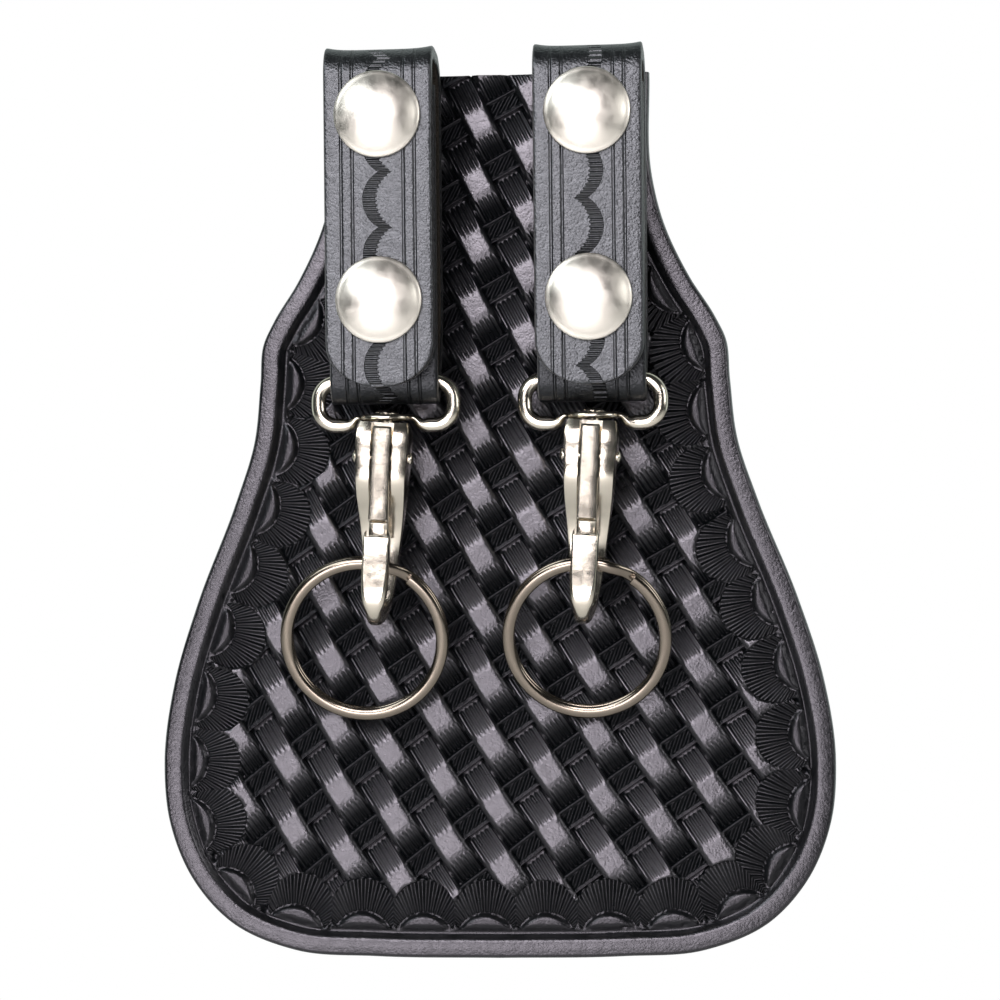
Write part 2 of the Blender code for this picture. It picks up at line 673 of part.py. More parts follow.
def hook_loop(side, tilt):
    made = wire("hook_loop_" + side, loop_path(), WIRE_RADIUS, cyclic=True)
    link(made, NICKEL)
    smooth(made)
    attach(made, tilt)
    middle = BOSS_UNDER - BAR_Z + BOSS_THICKNESS / 2
    boss = cylinder(made.name + "_boss", BOSS_RADIUS, BOSS_THICKNESS, 28)
    boss.data.transform(Matrix.Diagonal((1.0, BOSS_DEPTH_SHARE, 1.0, 1.0)))
    boss.data.transform(Matrix.Translation((0.0, 0.0, middle)))
    cut(made, boss, "UNION")
    pocket = bmesh.new()
    bmesh.ops.create_cube(pocket, size=1.0)
    pocket_height = 2 * WIRE_RADIUS
    size = (2 * (BOSS_RADIUS + POCKET_ROOM), 4 * WIRE_RADIUS, pocket_height)
    bmesh.ops.scale(pocket, vec=size, verts=pocket.verts)
    pocket = mesh_from_bmesh(made.name + "_pocket", pocket)
    under = BOSS_UNDER - BAR_Z - pocket_height / 2
    pocket.data.transform(Matrix.Translation((0.0, 0.0, under)))
    cut(made, pocket)
    length = BOSS_THICKNESS + 2 * OVERRUN
    drill(made, (0.0, 0.0, middle), STEM_RADIUS + RUNNING, length, axis="Z")
    return made


def hook_section(place, inward, thickness, half, flat):
    """One section across the hook: a bevelled outer face and a nearly square inner one."""
    bevel_depth = thickness * BEVEL_DEPTH_SHARE
    bevel_depth = min(bevel_depth, NOSE_THICKNESS * BEVEL_DEPTH_SHARE * 2)
    inner = half - HOOK_EDGE
    rows = [(-flat, 0.0), (flat, 0.0), (half, bevel_depth), (half, thickness - HOOK_EDGE),
            (inner, thickness), (-inner, thickness), (-half, thickness - HOOK_EDGE),
            (-half, bevel_depth)]
    return [Vector((across, *(place + inward * depth))) for across, depth in rows]


def hook_body(side, swivel):
    """Side walls, shank, bend and nose as one loft, with the gate's slot cut in."""
    half = HOOK_WIDTH / 2
    depth = HOOK_FRONT + HOOK_BACK
    outer_back = SHANK_THICKNESS + THROAT_RADIUS
    straight = HOOK_STRAIGHT
    centre = Vector((HOOK_BACK - outer_back, -straight))
    rings = []
    for drop, thick, wide, flat in SHANK_SHARES:
        place = Vector((HOOK_BACK, -drop * straight))
        thickness = thick * depth
        rings.append(hook_section(place, Vector((-1.0, 0.0)), thickness, wide * half, flat * half))
    for share, wide, flat in BEND_SHARES:
        turn = pi * share
        thickness = SHANK_THICKNESS + (NOSE_THICKNESS - SHANK_THICKNESS) * share
        outward = Vector((cos(turn), -sin(turn)))
        place = centre + outward * (THROAT_RADIUS + thickness)
        rings.append(hook_section(place, -outward, thickness, wide * half, flat * half))
    nose_front = centre.x - THROAT_RADIUS - NOSE_THICKNESS
    for share, wide, flat, thick in NOSE_SHARES:
        thickness = thick * NOSE_THICKNESS
        height = -straight + (straight - NOSE_TIP_DROP) * share
        place = Vector((nose_front + (NOSE_THICKNESS - thickness) * share, height))
        rings.append(hook_section(place, Vector((1.0, 0.0)), thickness, wide * half, flat * half))
    made = loft("hook_body_" + side, rings)
    link(made, NICKEL)
    attach(made, swivel)
    floor = HOOK_BACK - SHANK_THICKNESS + FIT
    block = -SLOT_BLOCK_FRONT
    far = -HOOK_FRONT - OVERRUN
    run_out = -TONGUE_DROP
    slot = [(far, OVERRUN), (block, OVERRUN), (block, -SLOT_BLOCK_DROP),
            (floor, -SLOT_BLOCK_DROP - FIT), (floor, run_out), (far, run_out)]
    cut(made, side_piece(made.name + "_slot", slot, SLOT_WIDTH))
    drill(made, (0.0, 0.0, -STEM_DEPTH / 2 + OVERRUN / 2), STEM_RADIUS + FIT,
          STEM_DEPTH + OVERRUN, axis="Z")
    drill(made, (0.0, -GATE_PIVOT_FRONT, -GATE_PIVOT_DROP), PIN_RADIUS + FIT,
          HOOK_WIDTH + 2 * OVERRUN, axis="X", steps=12)
    return made


def swivel_stem(side, swivel):
    """Headed stem: through the loop's boss, fast in the hook's top."""
    head_seat = BOSS_TOP - HOOK_TOP + FIT
    crown = head_seat + STEM_HEAD
    profile = [(0.0, crown), (STEM_HEAD_RADIUS - STEM_HEAD / 2, crown),
               (STEM_HEAD_RADIUS, crown - STEM_HEAD / 2), (STEM_HEAD_RADIUS, head_seat),
               (STEM_RADIUS, head_seat), (STEM_RADIUS, FIT - STEM_DEPTH), (0.0, FIT - STEM_DEPTH)]
    made = link(turned("swivel_stem_" + side, profile, 16), NICKEL)
    return attach(made, swivel)


def gate_outline():
    """Side view of the gate about its pivot, as (Y, Z)."""
    front = GATE_PIVOT_FRONT - GATE_FRONT
    back = front + GATE_PLATE
    top = GATE_PIVOT_DROP - GATE_TOP_DROP
    end = GATE_PIVOT_DROP - GATE_END_DROP
    tip = GATE_PIVOT_DROP - TONGUE_DROP
    nose_inner = SHANK_THICKNESS + 2 * THROAT_RADIUS - HOOK_BACK
    tongue_front = GATE_PIVOT_FRONT - nose_inner + RUNNING
    tongue_back = tongue_front + TONGUE_THICKNESS
    chamfer = TONGUE_THICKNESS / 3
    ear = arc((0.0, 0.0), GATE_EAR_RADIUS, -pi / 3, pi / 2, 8)
    return ([(front, end + chamfer), (front + chamfer, end), (tongue_front, end),
             (tongue_front, tip + chamfer), (tongue_front + chamfer, tip), (tongue_back, tip),
             (tongue_back, end + TONGUE_THICKNESS), (back + chamfer, end + GATE_PLATE * 2)]
            + ear + [(back, GATE_EAR_RADIUS + chamfer), (back, top), (front + chamfer, top),
                     (front, top - chamfer)])


def gate(side, pivot):
    made = side_piece("gate_" + side, gate_outline(), GATE_WIDTH)
    link(made, NICKEL)
    attach(made, pivot)
    drill(made, (0.0, 0.0, 0.0), PIN_RADIUS + RUNNING, GATE_WIDTH + 2 * OVERRUN,
          axis="X", steps=12)
    back = GATE_PIVOT_FRONT - GATE_FRONT + GATE_PLATE
    room = GATE_EAR_RADIUS + OVERRUN
    low = -SPRING_LEG - SPRING_WIRE - RUNNING
    slot = [(back, room), (back, low), (room, low), (room, room)]
    return cut(made, side_piece(made.name + "_room", slot, SPRING_ROOM))


def gate_spring(side, pivot):
    """Torsion spring on the pin: one leg behind the gate, one up on the slot's floor."""
    steps = 10
    count = int(SPRING_TURNS * steps)
    path = []
    plate_back = GATE_PIVOT_FRONT - GATE_FRONT + GATE_PLATE + SPRING_WIRE + FIT
    path.append((-SPRING_TURNS * SPRING_PITCH / 2, plate_back, -SPRING_LEG))
    for index in range(count + 1):
        turn = pi + 2 * pi * index / steps
        across = (index / steps - SPRING_TURNS / 2) * SPRING_PITCH
        path.append((across, SPRING_COIL_RADIUS * cos(turn), SPRING_COIL_RADIUS * sin(turn)))
    floor = GATE_PIVOT_FRONT + HOOK_BACK - SHANK_THICKNESS - SPRING_WIRE - SEAT
    path.append((path[-1][0], floor, SPRING_COIL_RADIUS))
    made = wire("gate_spring_" + side, path, SPRING_WIRE, resolution=1)
    link(made, SPRING_STEEL)
    smooth(made)
    return attach(made, pivot)


def gate_pin(side, swivel):
    """Riveted pin across the hook's walls, a round head on each side."""
    wall = HOOK_WIDTH / 2 + FIT
    crown = wall + PIN_HEAD
    shoulder = PIN_HEAD_RADIUS * PIN_SHOULDER_SHARE
    end = [(0.0, crown), (shoulder, crown - PIN_HEAD / 3), (PIN_HEAD_RADIUS, wall + PIN_HEAD / 4),
           (PIN_HEAD_RADIUS, wall), (PIN_RADIUS, wall)]
    profile = end + [(radius, -height) for radius, height in reversed(end)]
    made = link(turned("gate_pin_" + side, profile, 12), NICKEL)
    attach(made, swivel)
    made.rotation_euler = (0.0, pi / 2, 0.0)
    made.location = (0.0, -GATE_PIVOT_FRONT, -GATE_PIVOT_DROP)
    return made


def ring_height(turn):
    """Front coil, jog, back coil: the wire's place along the ring's axis."""
    reach = (RING_WIRE_THICKNESS + RING_COIL_GAP) / 2
    jog = RING_JOG_END - RING_JOG_START
    first_end = 2 * pi - jog
    if turn <= first_end:
        return -reach
    if turn >= 2 * pi:
        return reach
    share = (turn - first_end) / jog
    return reach * (2 * share * share * (3 - 2 * share) - 1)


def split_ring(side, hinge):
    """Two turns of flat wire that change places at the jog by the cut end."""
    centre_radius = RING_OUTER_RADIUS - RING_WIRE_WIDTH / 2
    shift = RING_SHIFT[side]
    drop = sqrt(centre_radius**2 - shift**2)
    half_wide = RING_WIRE_WIDTH / 2
    half_thick = RING_WIRE_THICKNESS / 2
    corner = half_thick * RING_CORNER_SHARE
    corners = [(half_wide - corner, -half_thick), (half_wide, 0.0),
               (half_wide - corner, half_thick), (-half_wide + corner, half_thick),
               (-half_wide, 0.0), (-half_wide + corner, -half_thick)]
    total = 4 * pi - (RING_JOG_END - RING_JOG_START)
    count = int(RING_STEPS * total / (2 * pi))
    rings = []
    for index in range(count + 1):
        turn = total * index / count
        angle = RING_JOG_END + turn
        height = ring_height(turn)
        rings.append([Vector((shift + (centre_radius + wide) * sin(angle), height + thick,
                              -drop + (centre_radius + wide) * cos(angle)))
                      for wide, thick in corners])
    made = loft("split_ring_" + side, rings)
    link(made, NICKEL)
    smooth(made)
    attach(made, hinge)
    made.rotation_euler = (RING_LEAN[side], 0.0, 0.0)
    return made


def build_side(side):
    across = SIDES[side] * STRAP_SPACING / 2
    strap(side, across)
    for level, height in RIVET_HEIGHTS.items():
        panel_rivet(side + "_" + level, across, height)
    flap_hinge = joint_empty("flap_hinge_" + side, (across, FLAP_FRONT, FLAP_HINGE_Z))
    strap_flap(side, flap_hinge)
    for level in SNAP_HEIGHTS:
        snap(side, level, across, flap_hinge)
    tilt = joint_empty("loop_hinge_" + side, (across, SWIVEL_Y, BAR_Z))
    hook_loop(side, tilt)
    swivel = joint_empty("swivel_axis_" + side, (0.0, 0.0, HOOK_TOP - BAR_Z), tilt, HOOK_LEAN)
    hook_body(side, swivel)
    swivel_stem(side, swivel)
    gate_pin(side, swivel)
    pivot = joint_empty("gate_pivot_" + side, (0.0, -GATE_PIVOT_FRONT, -GATE_PIVOT_DROP), swivel)
    gate(side, pivot)
    gate_spring(side, pivot)
    hinge = joint_empty("ring_hinge_" + side, (0.0, -RING_FORWARD[side], -RING_DROP), swivel)
    split_ring(side, hinge)


clear_scene()
PIECES = collection("key_sheath")
TOOLS = collection("cutting_tools")
TOOLED_LEATHER = material("black_tooled_leather", (0.028, 0.027, 0.029), 0.42, 0.0)
STRAP_FINISH = material("black_strap_leather", (0.032, 0.031, 0.034), 0.45, 0.0)
NICKEL = material("nickel_plate", (0.74, 0.70, 0.64), 0.22, 1.0)
RIVET_METAL = material("nickel_rivet", (0.70, 0.67, 0.62), 0.35, 1.0)
SPRING_STEEL = material("spring_steel", (0.45, 0.44, 0.42), 0.35, 1.0)
back_panel()
for each_side in SIDES:
    build_side(each_side)
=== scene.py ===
"""Looks of the black tooled-leather key sheath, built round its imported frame."""
from functools import partial
from math import cos, pi, radians, sin, sqrt

import bmesh
import bpy
import numpy as np
from mathutils import Matrix, Vector


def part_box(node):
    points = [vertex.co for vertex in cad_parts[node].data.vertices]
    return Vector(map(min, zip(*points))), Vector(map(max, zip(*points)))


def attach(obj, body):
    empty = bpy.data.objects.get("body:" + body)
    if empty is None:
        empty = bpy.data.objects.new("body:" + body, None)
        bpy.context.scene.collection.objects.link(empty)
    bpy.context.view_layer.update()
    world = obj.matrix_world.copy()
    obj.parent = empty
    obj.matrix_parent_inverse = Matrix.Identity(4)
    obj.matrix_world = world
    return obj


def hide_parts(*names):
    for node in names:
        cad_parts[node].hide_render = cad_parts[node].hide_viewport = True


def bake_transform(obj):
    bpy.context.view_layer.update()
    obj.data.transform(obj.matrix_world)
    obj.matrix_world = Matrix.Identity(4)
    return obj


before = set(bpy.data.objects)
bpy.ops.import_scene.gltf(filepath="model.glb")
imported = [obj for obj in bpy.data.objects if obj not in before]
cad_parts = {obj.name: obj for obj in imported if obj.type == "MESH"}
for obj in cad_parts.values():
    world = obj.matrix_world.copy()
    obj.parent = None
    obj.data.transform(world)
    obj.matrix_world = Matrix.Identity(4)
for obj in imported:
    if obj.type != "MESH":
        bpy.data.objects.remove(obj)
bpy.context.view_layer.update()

# Sizes are in millimetres from here on, and MM turns them to metres.
# Y runs to the back: the camera's side is at low Y.
MM = 0.001
SIDES = {"left": -1.0, "right": 1.0}
LEVELS = ("upper", "lower")

# Back panel
panel_low, panel_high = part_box("back_panel")
PANEL_HALF = panel_high.x / MM
PANEL_TOP = panel_high.z / MM
PANEL_BOTTOM = panel_low.z / MM
CROWN = panel_low.y / MM
PANEL_BACK = panel_high.y / MM
# Half width and height above the bottom, as shares of the half width and the height
PANEL_SIDE_SHARES = [
    (0.0, 0.0), (0.37, 0.002), (0.61, 0.009), (0.803, 0.041), (0.912, 0.087),
    (0.985, 0.155), (1.0, 0.221), (0.967, 0.314), (0.894, 0.405), (0.776, 0.519),
    (0.719, 0.587), (0.699, 0.655), (0.688, 0.699), (0.657, 0.724), (0.583, 0.769),
    (0.502, 0.838), (0.475, 0.883), (0.470, 1.0),
]

# Basket weave. The tool was set by hand, so the rows bend a little down the panel:
# X and Z of a hatched cell as 1, column, row, column squared, column by row, row squared
WEAVE_X = (2.521, 4.900, 8.504, 0.0133, -0.0238, 0.1923)
WEAVE_Z = (18.301, 2.528, -16.652, -0.0209, 0.0426, 0.0858)
CELL_ROW = 0.9               # row of a cell's middle, as a share of the period
WEAVE_COLUMNS = range(-26, 14)
WEAVE_HALF_ROWS = range(-6, 22)
WEAVE_COLUMN = 5.6
WEAVE_PERIOD = 19.5
STRAND_SHARE = 0.80          # a strand's share of the period; the rest is hatched cell
SUNK = 1.95                  # one skin dives this far under the other
WEAVE_SIZES = {
    "Strand share": STRAND_SHARE, "Column width": WEAVE_COLUMN, "Period": WEAVE_PERIOD,
    "Strand rise": 1.50, "Floor": 1.62,
    "Peak": 0.56,            # where along a strand it stands highest
    "Flat share": 0.20,      # share of a strand that lies flat on top
    "Curve": 1.35,           # power of the fall on both sides of the flat
    "Edge": 0.95, "Edge drop": 0.50, "Cell depth": 0.95, "Bar width": 0.62,
    "Bar height": 0.34, "Sunk": SUNK,
}

# Border: outer edge, dome, groove, base line, then a row of lenses in fans of ribs
BORDER = 5.15                # outer edge to the stamps' base line
STAMPS = [                   # set by hand, so their steps differ a little
    (-38.4, -43.0), (-41.9, -53.6), (-46.2, -64.3), (-49.3, -75.8), (-52.8, -87.4),
    (-54.6, -99.0), (-52.4, -109.9), (-45.2, -119.6), (-35.9, -125.8), (-24.5, -127.6),
    (-13.5, -128.0), (-2.5, -128.3), (8.4, -128.7), (19.7, -129.1), (31.2, -127.7),
    (42.3, -124.2), (49.3, -117.4), (52.3, -106.9), (52.7, -95.0), (50.2, -83.0),
    (47.3, -71.6), (43.9, -60.6), (40.0, -48.3), (37.4, -36.9),
]
STAMP_PITCH = 11.7
LENS_RADIUS = 5.15
LENS_DEPTH = 2.75
FAN_RADIUS = 5.95
FAN_CENTRE = 3.0
FAN_ROOT = 3.4               # where the ribs meet, outside the base line
FAN_RIB = radians(7.0)
GROOVE = 1.2                 # depth of the groove beside the dome
RIDGE_HALF = 0.17            # half width of the raised base line
NO_PROFILE = -10.0           # marks the points that the stamps press
FIELD_TOP = PANEL_TOP - 0.03  # so that the two skins' cut tops don't share a plane
FAN_SIZES = {
    "Lens radius": LENS_RADIUS, "Lens depth": LENS_DEPTH, "Fan radius": FAN_RADIUS,
    "Fan centre": FAN_CENTRE, "Fan floor": 0.80, "Sunk": SUNK,
}

# Straps
STRAP_X = 18.3
STRAP_HALF = 9.525
STRAP_THICK = 2.4
FLAP_Y = -10.5
BASE_Y = -5.1
BACK_Y = 5.1
SWIVEL_Y = -2.3
BAR_Z = -31.4
FLAP_END = -32.6
FLAP_ROUND = 7.6
FOLD_SAG = 1.2               # the worn fold sits this much lower than a new one
FOLD_PLACE = 61.0            # along the strap from the flap's tip
FOLD_LENGTH = 4.0
FOLD_BULGE = 0.55            # the edges stand out this much at the fold
# The strap's reflection, measured along it from the flap's tip, is full on the flap. It fades out
# over the fade's length up to the full-shade place, and is low from there round the bar and up the
# base ply, as painted shade.
PAINTED_SHADE_FULL = 130.0           # along the strap from the flap's tip
PAINTED_SHADE_FADE = 20.0
SEAM = (-4.1, 25.5)          # Y and Z on the fold where the flap's piece ends
SCALLOP_PITCH = 9.68
SCALLOP_PHASE = {"left": 8.44, "right": 3.36}
STRAP_LINES = (6.45, 4.45)   # ruled lines, from the strap's middle
SCALLOP_RADIUS = 5.6
SCALLOP_BAND = 2.6
SCALLOP_START = -2.75

# Snaps and rivets: heights of each row's two
SNAP_HEIGHTS = (14.9, -17.4)
RIVET_HEIGHTS = (14.0, -13.0)

# Hooks
HOOK_TOP = -38.65
HOOK_LEAN = radians(3.4)
HOOK_HALF = 4.65
HOOK_BACK = 4.0
HOOK_DEPTH = 10.0
SHANK = 3.3
THROAT = 2.6
NOSE = 2.8
HOOK_STRAIGHT = 30.15
NOSE_TIP = 19.1
# Shank: drop share, thickness share, half width share, outer flat share
SHANK_SHARES = [
    (0.0, 0.93, 0.90, 0.64), (0.06, 1.0, 0.985, 0.72), (0.24, 1.0, 0.965, 0.72),
    (0.34, 0.97, 0.945, 0.70), (0.43, 0.82, 0.92, 0.68), (0.52, 0.60, 0.87, 0.64),
    (0.62, 0.41, 0.80, 0.58), (0.73, 0.33, 0.735, 0.50), (0.88, 0.33, 0.645, 0.42),
    (1.0, 0.33, 0.56, 0.34),
]
BEND_SHARES = [
    (0.17, 0.47, 0.24), (0.34, 0.37, 0.13), (0.50, 0.30, 0.06), (0.64, 0.29, 0.04),
    (0.78, 0.32, 0.04), (0.89, 0.42, 0.18), (1.0, 0.475, 0.31),
]
NOSE_SHARES = [(0.25, 0.50, 0.40, 1.0), (0.70, 0.50, 0.42, 0.97), (0.94, 0.49, 0.41, 0.84),
               (1.0, 0.43, 0.34, 0.62)]
PIVOT_FRONT = 2.6
PIVOT_DROP = 6.25

# Split rings
RING_RADIUS = 13.9           # middle of the wire
RING_SIZES = {"Radius": RING_RADIUS, "Wire width": 2.2, "Wire thickness": 1.22, "Reach": 0.66,
              "Jog start": radians(14), "Jog end": radians(34)}
RING_DROP = 25.05
RING_FORWARD = {"left": 1.5, "right": 2.3}
RING_SHIFT = {"left": -2.2, "right": 0.7}
RING_LEAN = {"left": radians(14), "right": radians(17.5)}


def colour(code):
    """Linear RGBA from an sRGB hex code."""
    channels = [int(code[index:index + 2], 16) / 255 for index in (1, 3, 5)]
    linear = [c / 12.92 if c <= 0.04045 else ((c + 0.055) / 1.055) ** 2.4 for c in channels]
    return (*linear, 1.0)


SIGNS = {"+": "ADD", "-": "SUBTRACT", "*": "MULTIPLY", "/": "DIVIDE", "*+": "MULTIPLY_ADD"}


def add(tree, kind, *inputs, out=0, **settings):
    """Add a node and give one output. Shader kinds go without their prefix. A sign or a kind in
    capitals is a Math operation, where sums and products take any number of inputs, or
    SMOOTHSTEP from one limit to another. Inputs are sockets or values, in their order, or by
    name or number in a dictionary."""
    kind = SIGNS.get(kind, kind)
    if kind in ("ADD", "MULTIPLY") and len(inputs) > 2:
        inputs = add(tree, kind, *inputs[:-1]), inputs[-1]
    if kind == "SMOOTHSTEP":
        kind, settings = "MapRange", {"interpolation_type": kind}
    elif kind.isupper():
        kind, settings = "Math", {"operation": kind, **settings}
    prefix = "" if kind.startswith(("GeometryNode", "NodeGroup")) else "ShaderNode"
    made = tree.nodes.new(prefix + kind)
    for key, value in settings.items():
        setattr(made, key, value)
    for index, given in enumerate(inputs):
        for key, value in given.items() if isinstance(given, dict) else [(index, given)]:
            if isinstance(value, bpy.types.NodeSocket):
                tree.links.new(value, made.inputs[key])
            else:
                made.inputs[key].default_value = value
    return made.outputs[out] if len(made.outputs) else made


def new_material(name):
    """An empty node material, and the function that adds a node to it."""
    made = bpy.data.materials.new(name)
    made.use_nodes = True
    made.node_tree.nodes.clear()
    return made, partial(add, made.node_tree)


def surface(node, **sockets):
    """Principled surface; a name's underscores stand for the socket's spaces."""
    values = {key.replace("_", " "): value for key, value in sockets.items()}
    node("OutputMaterial", {"Surface": node("BsdfPrincipled", values)})


def millimetres(node):
    """Object coordinates in millimetres."""
    where = node("TexCoord", out=3)
    return node("VectorMath", where, {"Scale": 1 / MM}, operation="SCALE")


# Fine tooling that is left to bump
STRAND_RIBS = 6.0            # across a strand
STRAND_RIB_HEIGHT = 0.17
STROKE_PITCH = 1.15          # hatching of a cell
STROKE_HEIGHT = 0.18
FAN_RIB_HEIGHT = 0.29
SCALLOP_RIB = 0.62
LINE_DEPTH = 0.28
STAMP_CHART = 10.0           # millimetres in one unit of the stamps' UV map
STRAP_CHART = (10.0, 100.0)  # and across and along the strap's

# Leather finishes
LEATHER_BLACK = colour("#030506")
LEATHER_WORN = colour("#060708")
LEATHER_SHEEN = colour("#ede8f0")
STRAP_SHEEN = colour("#eaedf2")
GRAIN_PEBBLE = 0.42          # between pebbles: drawn coarser than real, so that they show
GRAIN_CREASE = 1.7


def leather_grain(node, where, pebble, crease):
    """Height in millimetres of the grain's pebbles and creases, and the creases alone."""
    pebbles = node("TexVoronoi", {"Vector": where, "Scale": 1 / GRAIN_PEBBLE, "Smoothness": 0.6},
                   feature="SMOOTH_F1")
    creases = node("TexNoise", {"Vector": where, "Scale": 1 / GRAIN_CREASE, "Detail": 5.0,
                                "Roughness": 0.62})
    height = node("*+", creases, crease, node("*", pebbles, -pebble))
    return height, creases


def leather_surface(node, height, worn, gloss, dull_and_painted_shade, polished, sheen=LEATHER_SHEEN):
    """Satin black finish with the height as bump. Where worn it is a little greyer and rougher
    round its roughness gloss. Its reflection is as strong as the low level where the mesh's
    mask is 0, and as the high level where it is 1. The mask is partly real burnish on the
    raised parts, and partly painted light and shade: it turns the reflection down where shade
    falls on the weave and the strap."""
    bump = node("Bump", {"Height": height, "Distance": MM, "Strength": 1.0})
    shade = node("Mix", {0: worn, 6: LEATHER_BLACK, 7: LEATHER_WORN}, out=2, data_type="RGBA")
    roughness = node("MapRange", worn, 0.3, 0.7, gloss - 0.04, gloss + 0.06)
    # Mask of burnish with painted light and shade in it: low where shade falls, as painted shade.
    rubbed_and_painted_light = node("Attribute", out=2, attribute_name="polish")
    level = node("*+", rubbed_and_painted_light, polished - dull_and_painted_shade, dull_and_painted_shade)
    surface(node, Base_Color=shade, Roughness=roughness, Normal=bump, Specular_Tint=sheen,
            Specular_IOR_Level=level)


def window(node, value, start, full, fade, end):
    """1 from full to fade and 0 outside start and end, smooth between."""
    return node("*", node("SMOOTHSTEP", value, start, full), node("SMOOTHSTEP", value, end, fade))


def weave_leather():
    """Vegetable-tanned cowhide, cased, stamped and dyed: crisp ribs, a satin top finish."""
    made, node = new_material("basket_stamped_cowhide")
    lattice = node("UVMap", uv_map="lattice")
    column = node("SeparateXYZ", lattice, out=0)
    row = node("SeparateXYZ", lattice, out=1)
    across = node("FRACT", column)
    along = node("FRACT", node("*+", node("FLOOR", column), 0.5, row))
    strand = node("/", along, STRAND_SHARE)
    ribs = node("SINE", node("*", across, 2 * pi * STRAND_RIBS))
    ends = node("+", window(node, strand, 0.02, 0.06, 0.26, 0.44), window(node, strand, 0.70, 0.80,
                                                                          0.97, 1.0))
    inside = node("SMOOTHSTEP", node("PINGPONG", across, 0.5), 0.05, 0.09)
    rib_height = node("*", ribs, ends, inside, STRAND_RIB_HEIGHT)
    slant = node("*+", column, 0.59 * WEAVE_COLUMN, node("*", row, 0.81 * WEAVE_PERIOD))
    strokes = node("SINE", node("*", slant, 2 * pi / STROKE_PITCH))
    cell = window(node, along, STRAND_SHARE + 0.035, STRAND_SHARE + 0.05, 0.95, 0.965)
    stroke_height = node("*", strokes, cell, STROKE_HEIGHT)
    grain, worn = leather_grain(node, millimetres(node), 0.035, 0.10)
    # Reflection 0.16 where the mask is 0, in the cells and as painted shade on the lower strand
    # ends, up to 1.0 on the lit middles of the strands.
    leather_surface(node, node("+", rib_height, stroke_height, grain), worn, 0.30, 0.16, 1.0)
    return made


def border_leather():
    """The same hide round the edge, where rubbing has burnished the dome and left its pores."""
    made, node = new_material("border_stamped_cowhide")
    stamp = node("UVMap", uv_map="stamp")
    across = node("*", node("SeparateXYZ", stamp, out=0), STAMP_CHART)
    inward = node("*", node("SeparateXYZ", stamp, out=1), STAMP_CHART)
    turn = node("ARCTAN2", across, node("+", inward, FAN_ROOT))
    ribs = node("SINE", node("*", turn, 2 * pi / FAN_RIB))
    lens = circle_gap(node, across, inward, LENS_DEPTH - LENS_RADIUS, LENS_RADIUS)
    fan = circle_gap(node, across, inward, FAN_CENTRE, FAN_RADIUS)
    rib_height = node("*", ribs, FAN_RIB_HEIGHT, node("SMOOTHSTEP", lens, 0.3, 0.55),
                      node("SMOOTHSTEP", fan, 0.1, -0.25), node("SMOOTHSTEP", inward, 0.0, 0.3))
    grain, worn = leather_grain(node, millimetres(node), 0.03, 0.08)
    leather_surface(node, node("+", rib_height, grain), worn, 0.31, 0.44, 0.76)
    return made


def circle_gap(node, across, inward, centre, radius):
    """How far a point lies outside a circle on the stamp's middle line."""
    offset = node("-", inward, centre)
    squares = node("*+", across, across, node("*", offset, offset))
    return node("-", node("SQRT", squares), radius)


def strap_leather():
    """Bridle strap, dyed black: ruled lines and ribbed scallops over a crushed, matt grain."""
    made, node = new_material("ruled_bridle_strap")
    chart = node("UVMap", uv_map="chart")
    across = node("*", node("SeparateXYZ", chart, out=0), STRAP_CHART[0])
    along = node("*", node("SeparateXYZ", chart, out=1), STRAP_CHART[1])
    share = node("FRACT", node("/", along, SCALLOP_PITCH))
    local = node("*", node("-", share, 0.5), SCALLOP_PITCH)
    square = node("-", SCALLOP_RADIUS**2, node("*", local, local))
    sagitta = node("-", SCALLOP_RADIUS, node("SQRT", square))
    band = node("-", node("-", across, SCALLOP_START), sagitta)
    turn = node("ARCSINE", node("/", local, SCALLOP_RADIUS + 0.3))
    ribs = node("SINE", node("*", turn, 2 * pi * (SCALLOP_RADIUS - 1.0) / SCALLOP_RIB))
    teeth = node("*+", ribs, -0.18, SCALLOP_BAND - 0.18)
    carved = node("*", node("*+", ribs, 0.14, -0.24), node("SMOOTHSTEP", band, 0.0, 0.15),
                  node("SMOOTHSTEP", node("-", teeth, band), 0.0, 0.2))
    middle = node("ABSOLUTE", across)
    for line in STRAP_LINES:
        away = node("ABSOLUTE", node("-", middle, line))
        carved = node("*+", node("SMOOTHSTEP", away, 0.32, 0.08), -LINE_DEPTH, carved)
    outer, inner = STRAP_LINES
    between = window(node, middle, inner, inner + 0.5, outer - 0.5, outer)
    carved = node("*+", between, 0.10, carved)
    grain, worn = leather_grain(node, millimetres(node), 0.07, 0.14)
    # Reflection 0.92 on the flap where the mask is 1, and 0.42 where it is 0, as painted shade on
    # the base ply.
    leather_surface(node, node("+", carved, grain), worn, 0.37, 0.42, 0.92, STRAP_SHEEN)
    return made


def fibrous(name, scale, detail, rough, depth, dark, light, **sockets):
    """Leather without a grain side: its fibres are noise, in its colour and in its bump."""
    made, node = new_material(name)
    fibres = node("TexNoise", {"Vector": millimetres(node), "Scale": scale, "Detail": detail,
                               "Roughness": rough})
    bump = node("Bump", {"Height": fibres, "Distance": depth * MM, "Strength": 1.0})
    shade = node("Mix", {0: fibres, 6: colour(dark), 7: colour(light)}, out=2, data_type="RGBA")
    surface(node, Base_Color=shade, Normal=bump, **sockets)
    return made


